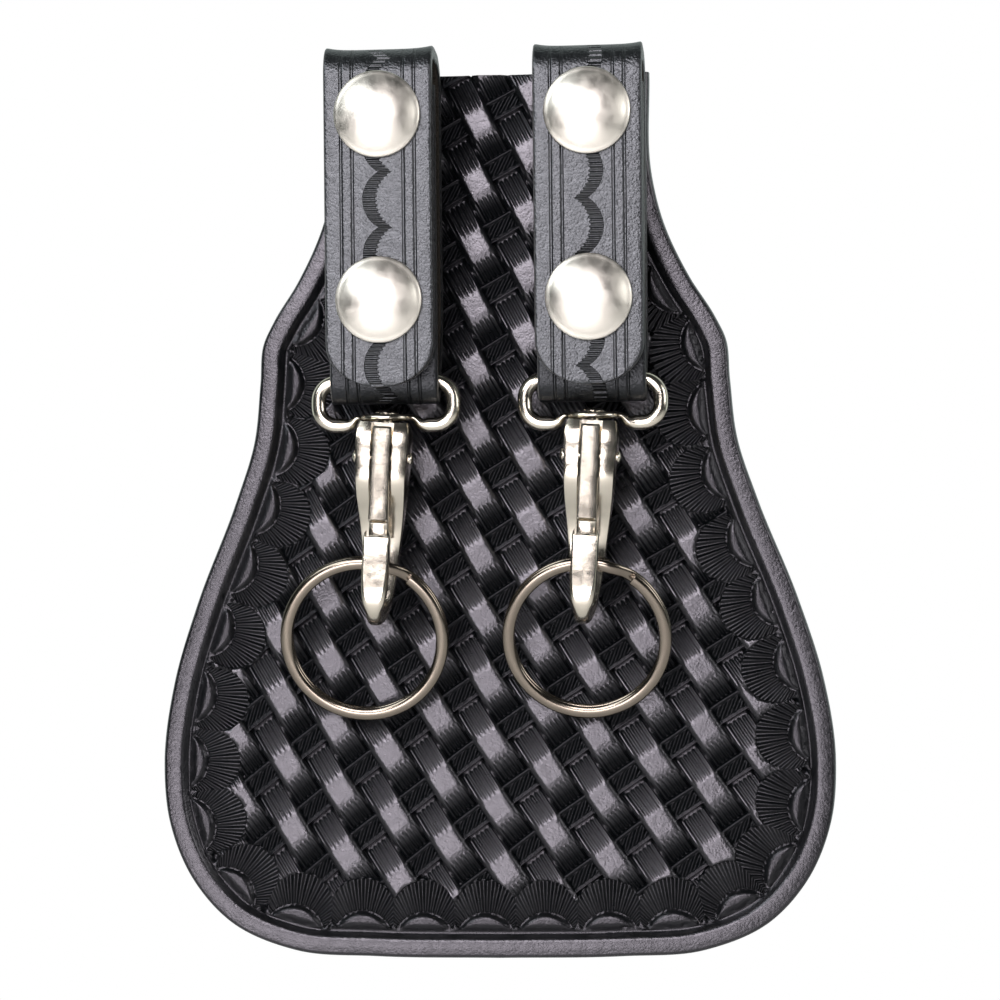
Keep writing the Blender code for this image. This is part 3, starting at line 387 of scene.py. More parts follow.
def plated(name, tint, roughness, lump, lump_size):
    """A plated metal: the plating's haze varies the gloss, and the base metal lies under it
    in soft lumps of the given height and size in millimetres."""
    made, node = new_material(name)
    where = millimetres(node)
    haze = node("TexNoise", {"Vector": where, "Scale": 0.45, "Detail": 7.0})
    gloss = node("MapRange", haze, 0.3, 0.7, roughness * 0.8, roughness * 1.25)
    lumps = node("TexNoise", {"Vector": where, "Scale": 1 / lump_size, "Detail": 3.0,
                              "Roughness": 0.55})
    bump = node("Bump", {"Height": lumps, "Distance": lump * MM, "Strength": 1.0})
    surface(node, Base_Color=colour(tint), Metallic=1.0, Roughness=gloss, Normal=bump)
    return made


WEAVE_LEATHER = weave_leather()
BORDER_LEATHER = border_leather()
STRAP_LEATHER = strap_leather()
# Flesh side of the hide, slicked and dyed: a short dull nap without gloss
FLESH_LEATHER = fibrous("slicked_flesh_side", 2.6, 8.0, 0.7, 0.45, "#1d1a17", "#443d35",
                        Roughness=0.8, Specular_IOR_Level=0.3)
# Cut edge, dyed and burnished with wax: fine fibres close together, half gloss
EDGE_LEATHER = fibrous("burnished_cut_edge", 1.9, 6.0, 0.66, 0.12, "#242425", "#505050",
                       Roughness=0.42)
# Brass pressings under tumbled nickel: warm white with a satin, slightly grained reflection
CAP_NICKEL = plated("tumbled_nickel_on_brass", "#e2dcd1", 0.39, 0.002, 0.35)
# Zinc castings under bright nickel: sharp reflections that wander over the cast surface
HOOK_NICKEL = plated("bright_nickel_on_zinc_casting", "#cfc7b8", 0.19, 0.03, 2.2)
# Flat-rolled steel wire under bright nickel: smooth along the wire, a little worn
RING_NICKEL = plated("bright_nickel_on_steel_wire", "#7c7368", 0.17, 0.006, 1.2)
# Steel rivets under dull nickel: grey and hazy from hammering
RIVET_NICKEL = plated("dull_nickel_on_steel_rivet", "#c5c0b8", 0.38, 0.03, 1.0)
# Oiled spring wire: darker, with a drawn sheen
SPRING_STEEL = plated("oiled_spring_wire", "#8f8d88", 0.30, 0.006, 0.4)


# Geometry trees
def start_tree(name, sizes):
    """A geometry tree with a named number input for each size, the function that adds a node
    to it, and its inputs."""
    tree = bpy.data.node_groups.new(name, "GeometryNodeTree")
    for way in ("INPUT", "OUTPUT"):
        tree.interface.new_socket("Geometry", in_out=way, socket_type="NodeSocketGeometry")
    for label in sizes:
        tree.interface.new_socket(label, in_out="INPUT", socket_type="NodeSocketFloat")
    return tree, partial(add, tree), tree.nodes.new("NodeGroupInput").outputs


def end_tree(tree, geometry, material):
    solid = add(tree, "GeometryNodeRealizeInstances", geometry)
    dressed = add(tree, "GeometryNodeSetMaterial", {"Geometry": solid, "Material": material})
    add(tree, "NodeGroupOutput", dressed)
    return tree


def run_tree(obj, tree, sizes):
    """Put the tree's result in the object as a plain mesh."""
    modifier = obj.modifiers.new("shape", "NODES")
    modifier.node_group = tree
    for item in tree.interface.items_tree:
        if item.in_out == "INPUT" and item.name in sizes:
            modifier[item.identifier] = sizes[item.name]
    return settle(obj)


def shaped(obj):
    """The mesh that an object and its modifiers make."""
    bpy.context.view_layer.update()
    evaluated = obj.evaluated_get(bpy.context.evaluated_depsgraph_get())
    return bpy.data.meshes.new_from_object(evaluated)


def settle(obj):
    """Replace an object's mesh and modifiers by the mesh that they make."""
    data = shaped(obj)
    obj.modifiers.clear()
    obj.data = data
    return obj


def pick(node, share, base, other):
    """The base, or the other where the share is 1."""
    return node("*+", share, node("-", other, base), base)


def push(node, geometry, height):
    """Move the points forward by a height in millimetres."""
    offset = node("CombineXYZ", {"Y": node("*", height, -MM)})
    return node("GeometryNodeSetPosition", {"Geometry": geometry, "Offset": offset})


def weave_tree():
    """Press the basket weave: strands that rise and fall, and sunk cells between two bars."""
    tree, node, size = start_tree("press_basket_weave", WEAVE_SIZES)
    column, row, uneven, fan = [
        node("GeometryNodeInputNamedAttribute", name, data_type="FLOAT")
        for name in ("column", "row", "uneven", "fan")]
    index = node("FLOOR", column)
    across = node("-", column, index)
    along = node("FRACT", node("*+", index, 0.5, row))
    strand = node("/", along, size["Strand share"])
    gap = node("*", node("PINGPONG", across, 0.5), size["Column width"])
    above = node("LESS_THAN", strand, size["Peak"])
    span = pick(node, above, node("-", 1.0, size["Peak"]), size["Peak"])
    lean = node("ABSOLUTE", node("/", node("-", strand, size["Peak"]), span))
    past = node("MAXIMUM", node("-", lean, size["Flat share"]), 0.0)
    past = node("/", past, node("-", 1.0, size["Flat share"]))
    fallen = node("POWER", past, size["Curve"])
    rise = node("*", node("-", 1.0, fallen), size["Strand rise"])
    edge = node("-", 1.0, node("SMOOTHSTEP", gap, 0.1, size["Edge"]))
    fall = node("*", node("POWER", edge, 1.5), size["Edge drop"])
    strand_height = node("-", node("-", rise, fall), size["Floor"])
    start = node("*", node("-", along, size["Strand share"]), size["Period"])
    end = node("*", node("-", 1.0, along), size["Period"])
    half = node("*", size["Bar width"], 0.5)
    off = node("/", node("-", node("MINIMUM", start, end), half), half)
    square = node("-", 1.0, node("*", off, off))
    arch = node("SQRT", node("MAXIMUM", square, 0.0))
    bar = node("*", arch, size["Bar height"])
    side = node("*", node("SMOOTHSTEP", gap, 0.4, 0.0), node("*+", arch, 0.25, -0.25))
    cell_height = node("-", node("+", bar, side), size["Cell depth"])
    in_cell = node("GREATER_THAN", along, size["Strand share"])
    height = node("+", pick(node, in_cell, strand_height, cell_height), uneven)
    outside = node("SMOOTHSTEP", fan, -0.62, -0.12)
    height = pick(node, outside, node("*", size["Sunk"], -1.0), height)
    return end_tree(tree, push(node, size["Geometry"], height), WEAVE_LEATHER)


def fan_tree():
    """Press the border stamps: a domed lens on a thin ridge, round it the floor of a fan."""
    tree, node, size = start_tree("press_border_fans", FAN_SIZES)
    across, inward, profile = [
        node("GeometryNodeInputNamedAttribute", name, data_type="FLOAT")
        for name in ("across", "inward", "profile")]
    centre = node("-", size["Lens depth"], size["Lens radius"])
    lens = circle_gap(node, across, inward, centre, size["Lens radius"])
    fan = circle_gap(node, across, inward, size["Fan centre"], size["Fan radius"])
    slope = node("*", node("SMOOTHSTEP", lens, 4.0, 0.0), -0.22)
    moat = node("*", node("SMOOTHSTEP", node("ABSOLUTE", lens), 0.5, 0.0), -0.28)
    floor = node("-", node("+", slope, moat), size["Fan floor"])
    depth = node("MINIMUM", node("*", lens, -1.0), node("-", inward, 0.1))
    hollow = node("-", 1.0, node("/", depth, 1.1, use_clamp=True))
    dome = node("SQRT", node("-", 1.0, node("*", hollow, hollow)))
    lens_height = node("*+", dome, 0.85, -GROOVE)
    height = pick(node, node("GREATER_THAN", depth, 0.0), floor, lens_height)
    away = node("/", inward, RIDGE_HALF)
    ridge = node("EXPONENT", node("*", away, away, -1.0))
    ridge = node("*+", ridge, 0.5, -GROOVE)
    height = pick(node, node("LESS_THAN", inward, 0.1), height, ridge)
    outside = node("*", node("SMOOTHSTEP", fan, 0.0, 0.5), node("SMOOTHSTEP", inward, 0.4, 1.0))
    height = pick(node, outside, height, node("*", size["Sunk"], -1.0))
    height = pick(node, node("GREATER_THAN", profile, NO_PROFILE + 1.0), height, profile)
    return end_tree(tree, push(node, size["Geometry"], height), BORDER_LEATHER)


# Mesh building
def put(name, data):
    """A new object in the scene."""
    made = bpy.data.objects.new(name, data)
    bpy.context.scene.collection.objects.link(made)
    return made


def mesh_object(name, points, faces, material=None):
    """A smooth-shaded mesh from points in millimetres."""
    data = bpy.data.meshes.new(name)
    data.from_pydata([tuple(point) for point in np.asarray(points, float) * MM], [], faces)
    data.update()
    if material is not None:
        data.materials.append(material)
    data.shade_smooth()
    return put(name, data)


def hand_over(piece, body, slot, *nodes):
    """Fix a piece to its body and hide the CAD nodes it stands for. The slot is not used."""
    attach(piece, body)
    if nodes:
        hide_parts(*nodes)


def grid_faces(rows, columns, closed=False):
    """Quads of points stored row by row; closed joins each row's end to its start."""
    last = columns if closed else columns - 1
    r, c = np.meshgrid(np.arange(rows - 1), np.arange(last), indexing="ij")
    beside = (c + 1) % columns
    quads = np.stack([r * columns + c, r * columns + beside, (r + 1) * columns + beside,
                      (r + 1) * columns + c], axis=-1)
    return quads.reshape(-1, 4)


def set_uv(obj, name, values):
    layer = obj.data.uv_layers.new(name=name)
    layer.data.foreach_set("uv", np.asarray(values, np.float32).ravel())


def carry(obj, **values):
    """Give each point its numbers for a geometry tree."""
    for name, numbers in values.items():
        kept = obj.data.attributes.new(name, "FLOAT", "POINT")
        kept.data.foreach_set("value", np.asarray(numbers, np.float32))


def tidy(obj, angle=35):
    """Merge doubles, turn the faces out and keep edges sharper than the angle crisp."""
    built = bmesh.new()
    built.from_mesh(obj.data)
    bmesh.ops.remove_doubles(built, verts=built.verts, dist=0.001 * MM)
    bmesh.ops.recalc_face_normals(built, faces=built.faces)
    built.to_mesh(obj.data)
    built.free()
    obj.data.shade_smooth()
    obj.data.set_sharp_from_angle(angle=radians(angle))
    return obj


def place(obj, matrix):
    """Move a mesh by a matrix whose translation is in millimetres."""
    moved = matrix.copy()
    moved.translation = matrix.translation * MM
    obj.data.transform(moved)
    return obj


def loft(name, sections, material):
    """Closed skin through sections of equal point counts, with flat ends."""
    rows, columns = len(sections), len(sections[0])
    points = np.array(sections).reshape(-1, 3)
    faces = grid_faces(rows, columns, closed=True).tolist()
    faces += [list(range(columns)), list(range((rows - 1) * columns, rows * columns))]
    return tidy(mesh_object(name, points, faces, material))


def turned(name, profile, steps, material):
    """Turn (radius, height) points about Z, from the top down; a ring's profile is closed."""
    hollow = min(radius for radius, _ in profile) > 0
    rows = profile + [profile[0]] if hollow else profile
    turns = np.linspace(0, 2 * pi, steps, endpoint=False)
    points = [(radius * cos(turn), radius * sin(turn), height)
              for radius, height in rows for turn in turns]
    made = mesh_object(name, points, grid_faces(len(rows), steps, closed=True).tolist(), material)
    return tidy(made, 40)


def arc(centre, radius, start, end, steps):
    return [(centre[0] + radius * cos(turn), centre[1] + radius * sin(turn))
            for turn in np.linspace(start, end, steps + 1)]


def prism(name, outline, width, material=None):
    """Extrude a (Y, Z) outline along X, centred."""
    count = len(outline)
    points = [(side * width / 2, y, z) for side in (-1, 1) for y, z in outline]
    faces = [[i, (i + 1) % count, count + (i + 1) % count, count + i] for i in range(count)]
    faces += [list(range(count)), list(range(count, 2 * count))]
    made = mesh_object(name, points, faces, material)
    return tidy(made)


def cut(target, tool):
    """Take one closed mesh out of another."""
    modifier = target.modifiers.new("cut", "BOOLEAN")
    modifier.object = tool
    modifier.solver = "EXACT"
    settle(target)
    bpy.data.objects.remove(tool, do_unlink=True)
    return tidy(target)


def soften(obj, width):
    """Round the sharp edges."""
    modifier = obj.modifiers.new("soften", "BEVEL")
    modifier.width = width * MM
    modifier.segments = 2
    modifier.limit_method = "ANGLE"
    modifier.angle_limit = radians(50)
    return tidy(settle(obj), 50)


def smooth_path(points, steps):
    """A cubic curve through points, with slopes from their neighbours."""
    places = np.array(points, float)
    spans = np.linalg.norm(np.diff(places, axis=0), axis=1)[:, None]
    steep = np.diff(places, axis=0) / spans
    inner = (steep[:-1] * spans[1:] + steep[1:] * spans[:-1]) / (spans[:-1] + spans[1:])
    slopes = np.vstack([steep[:1], inner, steep[-1:]])[:, None]
    t = (np.arange(steps) / steps)[None, :, None]
    path = (places[:-1, None] * (2 * t**3 - 3 * t**2 + 1)
            + slopes[:-1] * spans[:, None] * (t**3 - 2 * t**2 + t)
            + places[1:, None] * (3 * t**2 - 2 * t**3)
            + slopes[1:] * spans[:, None] * (t**3 - t**2))
    return np.vstack([path.reshape(-1, places.shape[1]), places[-1:]])


def resample(path, wanted):
    """Points at given distances along a path; a single number is the spacing."""
    lengths = np.r_[0, np.cumsum(np.linalg.norm(np.diff(path, axis=0), axis=1))]
    if np.isscalar(wanted):
        wanted = np.linspace(0, lengths[-1], int(round(lengths[-1] / wanted)) + 1)
    columns = [np.interp(wanted, lengths, path[:, axis]) for axis in range(path.shape[1])]
    return np.stack(columns, axis=1), wanted


def unit(vectors):
    return vectors / np.linalg.norm(vectors, axis=1)[:, None]


def ripple(x, z, scale, seed):
    """Soft unevenness of hand work, about -1 to 1."""
    rng = np.random.default_rng(seed)
    total = np.zeros_like(x, dtype=float)
    for _ in range(5):
        angle, phase = rng.uniform(0, 2 * pi, 2)
        length = scale * rng.uniform(0.7, 1.5)
        total += np.sin(2 * pi * (x * cos(angle) + z * sin(angle)) / length + phase)
    return total / 3


# Back panel
def panel_outline():
    """The panel's edge from its top left corner down and round to its top right."""
    height = PANEL_TOP - PANEL_BOTTOM
    points = [(x * PANEL_HALF, PANEL_BOTTOM + z * height) for x, z in PANEL_SIDE_SHARES]
    side = smooth_path(points, 12)
    return np.vstack([side[:0:-1] * np.array([-1.0, 1.0]), side])


def inward_normals(path, reach):
    """Directions into the panel, evened out along the path so that they don't cross."""
    along = unit(np.gradient(path, axis=0))
    normals = np.stack([-along[:, 1], along[:, 0]], axis=1)
    kernel = np.hanning(2 * reach + 3)
    kernel /= kernel.sum()
    padded = np.pad(normals, ((reach + 1, reach + 1), (0, 0)), mode="edge")
    even = np.stack([np.convolve(padded[:, axis], kernel, "valid") for axis in (0, 1)], axis=1)
    return unit(even)


def stamp_frames():
    """Middle and inward direction of each border stamp on the base line."""
    path, _ = resample(panel_outline(), 0.3)
    base, lengths = resample(path + inward_normals(path, 6) * BORDER, 0.3)
    normals = inward_normals(base, 20)
    lenses = base + normals * LENS_DEPTH / 2
    middles = np.array([lengths[np.hypot(*(lenses - spot).T).argmin()] for spot in STAMPS])
    further = STAMP_PITCH * np.arange(1, 9)
    middles = np.concatenate([middles[0] - further[::-1], middles, middles[-1] + further])
    edge = 0.4 * STAMP_PITCH
    middles = middles[(middles > edge) & (middles < lengths[-1] - edge)]
    centres, _ = resample(base, middles)
    facing = np.stack([np.interp(middles, lengths, normals[:, axis]) for axis in (0, 1)], axis=1)
    return centres, unit(facing)


def in_stamps(points, centres, facing):
    """The nearest stamp's number, and the place across and into it, for each point."""
    best = np.full(len(points), 1e9)
    found = np.zeros((len(points), 3))
    for number, (centre, inward) in enumerate(zip(centres, facing)):
        offset = points - centre
        deep = offset @ inward
        wide = offset @ np.array([inward[1], -inward[0]])
        distance = np.hypot(wide, deep - FAN_CENTRE)
        nearer = distance < best
        best[nearer] = distance[nearer]
        found[nearer] = np.stack([np.full(len(points), number), wide, deep], axis=1)[nearer]
    return found[:, 0].astype(int), found[:, 1], found[:, 2]


def edge_distance(points):
    """Distance inside the panel's side and bottom edges."""
    path, _ = resample(panel_outline(), 0.8)
    normals = inward_normals(path, 1)
    found = np.zeros(len(points))
    for start in range(0, len(points), 4000):
        part = points[start:start + 4000]
        nearest = ((part[:, None, :] - path[None, :, :])**2).sum(axis=2).argmin(axis=1)
        found[start:start + 4000] = ((part - path[nearest]) * normals[nearest]).sum(axis=1)
    return found


def lines_in(length, marks, coarse, fine, reach):
    """Positions over one repeat, closer together near the marks."""
    places = [0.0]
    while places[-1] < length:
        near = min(abs(places[-1] - mark) for mark in marks)
        places.append(places[-1] + (fine if near < reach else coarse))
    return np.array(places) * (length / places[-1])


def weave_place(column, row):
    """Panel X and Z of a column and row of the weave."""
    c, r = column - 0.5, row - CELL_ROW
    terms = np.stack([np.ones_like(c), c, r, c * c, c * r, r * r])
    x, z = np.array(WEAVE_X) @ terms, np.array(WEAVE_Z) @ terms
    return x + 0.14 * ripple(x, z, 17, 3), z + 0.14 * ripple(x, z, 19, 5)


def tooled_field(stamps):
    """The field's skin: its rows and columns of points follow the weave."""
    column_lines = lines_in(1.0, (0.0, 1.0), 0.085, 0.045, 0.14)[:-1]
    marks = (0.0, STRAND_SHARE - 0.5, 0.5, STRAND_SHARE - 1.0)
    row_lines = lines_in(0.5, marks, 0.026, 0.0115, 0.045)[:-1]
    columns = np.concatenate([index + column_lines for index in WEAVE_COLUMNS])
    rows = np.concatenate([index / 2 + row_lines for index in WEAVE_HALF_ROWS])
    row_grid, column_grid = np.meshgrid(rows, columns, indexing="ij")
    x, z = weave_place(column_grid.ravel(), row_grid.ravel())
    points = np.stack([x, z], axis=1)
    near = (np.abs(x) < PANEL_HALF) & (z > PANEL_BOTTOM) & (z < PANEL_TOP + 1.0)
    depth = np.full(len(points), -1.0)
    depth[near] = edge_distance(points[near])
    quads = grid_faces(len(rows), len(columns))
    quads = quads[(depth[quads].min(axis=1) > BORDER + 0.6) & (z[quads].min(axis=1) < FIELD_TOP)]
    used, quads = np.unique(quads, return_inverse=True)
    quads = quads.reshape(-1, 4)
    points = points[used]
    lattice = np.stack([column_grid.ravel()[used], row_grid.ravel()[used]], axis=1)
    points[:, 1] = np.minimum(points[:, 1], FIELD_TOP)
    flat = np.insert(points, 1, CROWN, axis=1)
    made = mesh_object("tooled_field", flat, quads[:, ::-1].tolist())
    corners = lattice[quads[:, ::-1]]
    index = np.floor(corners.mean(axis=1)[:, :1])
    corners[:, :, 0] = np.clip(corners[:, :, 0], index + 1e-4, index + 1 - 1e-4)
    set_uv(made, "lattice", corners.reshape(-1, 2))
    _, across, inward = in_stamps(points, *stamps)
    middle = lattice[:, 0] - np.floor(lattice[:, 0])
    strand = (np.floor(lattice[:, 0]) * 0.5 + lattice[:, 1]) % 1.0 / STRAND_SHARE
    # Reflection mask of the strands: full over the middle, less at the upper ends, none at the
    # lower ends, the sides and the cells. The dull hollows are real burnish. The brighter upper
    # ends are painted light, and the dull lower ends, where shade falls, are painted shade.
    polish = np.clip((strand + 0.12) / 0.42, 0, 1) * np.clip((0.88 - strand) / 0.18, 0, 1)
    polish *= np.clip((0.5 - abs(middle - 0.5)) / 0.12, 0, 1)
    carry(made, polish=polish, column=lattice[:, 0] + np.where(middle < 1e-6, 1e-5, 0.0),
          row=lattice[:, 1] + 1e-5, uneven=0.07 * ripple(*points.T, 23, 8),
          fan=np.hypot(across, inward - FAN_CENTRE) - FAN_RADIUS)
    return close_top(run_tree(made, weave_tree(), WEAVE_SIZES))


def close_top(obj):
    """Turn the skin back at the panel's cut top edge."""
    built = bmesh.new()
    built.from_mesh(obj.data)
    top = (FIELD_TOP - 0.01) * MM
    edges = [e for e in built.edges if e.is_boundary and all(v.co.z > top for v in e.verts)]
    made = bmesh.ops.extrude_edge_only(built, edges=edges)
    for vertex in [g for g in made["geom"] if isinstance(g, bmesh.types.BMVert)]:
        vertex.co.y = PANEL_BACK * MM
    bmesh.ops.recalc_face_normals(built, faces=built.faces)
    if sum(face.normal.y for face in built.faces) > 0:
        bmesh.ops.reverse_faces(built, faces=built.faces)
    built.to_mesh(obj.data)
    built.free()
    obj.data.shade_smooth()
    obj.data.set_sharp_from_angle(angle=radians(60))
    return obj


def border_section():
    """Distance in from the edge and height under the crown, from the back over the dome."""
    back = PANEL_BACK - CROWN
    rows = [(2.4, -back), (1.0, -back), (0.55, 0.03 - back), (0.25, 0.15 - back),
            (0.08, 0.36 - back), (0.0, 0.65 - back)]
    rows += [(0.8 * (1 - cos(turn)), -0.12 - 1.64 * (1 - sin(turn)) ** 1.1)
             for turn in np.linspace(0.0, pi / 2, 10)]
    rows += [(1.25, -0.06), (1.85, -0.015), (2.6, 0.0), (3.1, -0.04), (3.4, -0.14),
             (3.65, -0.38), (3.95, -0.78), (4.25, -1.1), (4.5, -GROOVE)]
    return np.array(rows)


def tooled_border(stamps):
    """The edge, its dome and the row of fans, as one skin round the panel."""
    path, _ = resample(panel_outline(), 0.31)
    section = border_section()
    offsets = np.concatenate([section[:, 0], np.arange(4.61, 14.6, 0.31)])
    blend = np.clip((offsets - 2.0) / 8.0, 0, 1)[None, :, None]
    directions = inward_normals(path, 3)[:, None, :] * (1 - blend)
    directions = directions + inward_normals(path, 26)[:, None, :] * blend
    points = path[:, None, :] + directions * offsets[None, :, None]
    points[:, :, 1] = np.minimum(points[:, :, 1], PANEL_TOP)
    points[[0, -1], :, 1] = PANEL_TOP
    points = points.reshape(-1, 2)
    flat = np.insert(points, 1, CROWN, axis=1)
    quads = grid_faces(len(path), len(offsets))
    made = mesh_object("tooled_border", flat, quads.tolist())
    number, _, _ = in_stamps(points[quads].mean(axis=1), *stamps)
    offset = points[quads] - stamps[0][number][:, None, :]
    facing = stamps[1][number][:, None, :]
    deep = (offset * facing).sum(axis=2)
    wide = offset[:, :, 0] * facing[:, :, 1] - offset[:, :, 1] * facing[:, :, 0]
    set_uv(made, "stamp", np.stack([wide, deep], axis=2).reshape(-1, 2) / STAMP_CHART)
    _, across, inward = in_stamps(points, *stamps)
    profile = np.full((len(path), len(offsets)), NO_PROFILE)
    wave = ripple(*points.T, 14, 11).reshape(len(path), -1)
    profile[:, :len(section)] = section[:, 1]
    profile[:, 12:len(section) - 3] += 0.05 * wave[:, 12:len(section) - 3] - 0.05
    carry(made, across=across, inward=inward, profile=profile.ravel(),
          polish=np.where(profile.ravel() > -1.0, 1.0, 0.0))
    return close_top(run_tree(made, fan_tree(), FAN_SIZES))


def flesh_side():
    """The flat back of the hide, with a sunk seat for each rivet's burr."""
    path, _ = resample(panel_outline(), 1.2)
    inset = path + inward_normals(path, 1) * 0.9
    inset[:, 1] = np.minimum(inset[:, 1], PANEL_TOP - 0.05)
    loops = [inset]
    for side in SIDES.values():
        for height in RIVET_HEIGHTS:
            loops.append(np.array(arc((side * STRAP_X, height), 4.25, 0, 2 * pi, 36)[:-1]))
    curve = bpy.data.curves.new("flesh_side", "CURVE")
    curve.dimensions = "2D"
    curve.fill_mode = "BOTH"
    curve.extrude = 0.5 * MM
    for loop in loops:
        spline = curve.splines.new("POLY")
        spline.points.add(len(loop) - 1)
        spline.points.foreach_set("co", np.pad(loop * MM, ((0, 0), (0, 2))).ravel())
        spline.use_cyclic_u = True
    outline = put("flesh_outline", curve)
    data = shaped(outline)
    bpy.data.objects.remove(outline, do_unlink=True)
    data.materials.clear()
    data.materials.append(FLESH_LEATHER)
    stand = Matrix.Translation((0, PANEL_BACK - 0.48, 0)) @ Matrix.Rotation(pi / 2, 4, "X")
    return tidy(place(put("flesh_side", data), stand))


# Straps
def strap_route():
    """Middle line of a strap as (Y, Z): up the flap, over the belt, down the back, round the
    loop's bar and up the base ply."""
    route = [(FLAP_Y, FLAP_END), (FLAP_Y, 21.4)]
    route += arc((-6.9, 22.8 - FOLD_SAG + 0.4), 3.6, pi, pi / 2, 10)
    route += arc((-1.3, 20.4 - FOLD_SAG), 6.4, pi / 2, 0, 14)
    for share in np.linspace(0, 1, 13):
        ease = share * share * (3 - 2 * share)
        route.append((BACK_Y + (0.5 - BACK_Y) * ease, -19.5 + (BAR_Z + 19.5) * share))
    route += arc((SWIVEL_Y, BAR_Z), 2.8, 0, -pi, 18)[1:]
    return np.array(route + [(BASE_Y, 20.5)])


def strap_section():
    """Across and out from the strap's middle, round the section from its left edge."""
    face = np.linspace(-8.95, 8.95, 27)
    half, out = STRAP_HALF, STRAP_THICK / 2
    corner = [(half - 0.25, out - 0.06), (half - 0.06, out - 0.3), (half, out - 0.7),
              (half, 0.7 - out), (half - 0.06, 0.3 - out), (half - 0.25, 0.06 - out)]
    right = corner + [(x, -out) for x in face[::-3]]
    return np.array([(x, out) for x in face] + right + [(-x, y) for x, y in corner[::-1]])


def strap_strip(side):
    """Both parts of one strap: the flap with the front of its fold, and the rest."""
    route = strap_route()
    total = np.linalg.norm(np.diff(route, axis=0), axis=1).sum()
    tip = FLAP_ROUND * (1 - np.cos(np.linspace(0.06, pi / 2, 16)))
    spots = np.r_[tip, np.arange(FLAP_ROUND + 0.5, total - 0.2, 0.5), total]
    middle, _ = resample(route, spots)
    tangent = unit(np.gradient(middle, axis=0))
    outward = np.stack([-tangent[:, 1], tangent[:, 0]], axis=1)
    section = strap_section()
    width = np.ones(len(spots))
    width[:len(tip)] = np.sqrt(1 - ((FLAP_ROUND - tip) / FLAP_ROUND)**2)
    x = section[None, :, 0] * width[:, None]
    thick = np.minimum(1.0, 0.55 + width)[:, None]
    out = section[None, :, 1] * thick
    fold = np.exp(-((spots - FOLD_PLACE) / FOLD_LENGTH)**2)[:, None]
    out = out + FOLD_BULGE * fold * (np.abs(x) / STRAP_HALF)**5
    out = out + 0.10 * ripple(x + 3 * SIDES[side], np.broadcast_to(spots[:, None], x.shape), 26, 4)
    y = middle[:, :1] + outward[:, :1] * out
    z = middle[:, 1:] + outward[:, 1:] * out
    points = np.stack([x + SIDES[side] * STRAP_X, y, z], axis=2)
    seam = int(np.flatnonzero((middle > SEAM).all(axis=1))[0])
    along = np.broadcast_to(spots[:, None] - SCALLOP_PHASE[side], x.shape)
    chart = np.stack([x * -SIDES[side], along], axis=2) / STRAP_CHART
    pieces = []
    for name, rows in (("flap_", slice(0, seam + 1)), ("strap_strip_", slice(seam, None))):
        part, columns = points[rows], len(section)
        faces = grid_faces(len(part), columns, closed=True)
        count = len(part) * columns
        ends = [list(range(columns)), list(range(count - columns, count))]
        made = mesh_object(name + side, part.reshape(-1, 3), faces.tolist() + ends, STRAP_LEATHER)
        for other in (EDGE_LEATHER, FLESH_LEATHER):
            made.data.materials.append(other)
        kinds = np.zeros(columns, int)       # grain in front, then edge, flesh side, edge
        kinds[28:31] = kinds[-4:-1] = 1
        kinds[32:-6] = 2
        made.data.polygons.foreach_set("material_index", np.r_[np.tile(kinds, len(part) - 1), 1, 1])
        # Painted shade: full reflection on the flap, turned down round the bar and up the base ply.
        polish = np.clip((PAINTED_SHADE_FULL - spots[rows]) / PAINTED_SHADE_FADE, 0, 1)
        carry(made, polish=np.repeat(polish, columns))
        flat = chart[rows].reshape(-1, 2)
        set_uv(made, "chart", np.concatenate([flat[faces.ravel()], flat[sum(ends, [])]]))
        pieces.append(tidy(made, 55))
    return pieces


# Snaps and rivets
def row_tree(material):
    """Copies of a fastener in a row down the strap, each turned to face its leather."""
    sizes = ("Across", "Depth", "Top", "Spacing", "Turn")
    tree, node, size = start_tree("fastener_row_" + material.name, sizes)
    start = node("CombineXYZ", size["Across"], size["Depth"], size["Top"])
    step = node("CombineXYZ", {"Z": size["Spacing"]})
    points = node("GeometryNodeMeshLine", {"Count": 2, "Start Location": start, "Offset": step})
    turn = node("CombineXYZ", {"X": size["Turn"]})
    copies = node("GeometryNodeInstanceOnPoints", {"Points": points, "Instance": size["Geometry"],
                                                   "Rotation": turn})
    return end_tree(tree, copies, material)


def fasteners(name, side, profile, depth, heights, material, body, slot, forward):
    """A row of one kind of fastener on a strap, for the CAD's two nodes."""
    tree = bpy.data.node_groups.get("fastener_row_" + material.name) or row_tree(material)
    made = turned(name + "_row_" + side, profile, 48, material)
    run_tree(made, tree, {
        "Across": SIDES[side] * STRAP_X * MM, "Depth": depth * MM, "Top": heights[0] * MM,
        "Spacing": (heights[1] - heights[0]) * MM, "Turn": pi / 2 if forward else -pi / 2})
    made.data.set_sharp_from_angle(angle=radians(40))
    hand_over(made, body, slot, *[name + "_" + side + "_" + level for level in LEVELS])


def cap_profile():
    """Domed cap, its rim rolled under, and the post that holds the socket."""
    sphere = (7.6**2 + 2.5**2) / 5.0
    dome = [(radius, 3.0 - sphere + sqrt(sphere**2 - radius**2))
            for radius in np.linspace(0, 7.05, 15)]
    rim = arc((7.15, 0.42), 0.44, radians(52), -pi / 2, 7)
    return dome + rim + [(6.6, 0.12), (1.5, 0.12), (1.5, -3.4), (0.0, -3.4)]


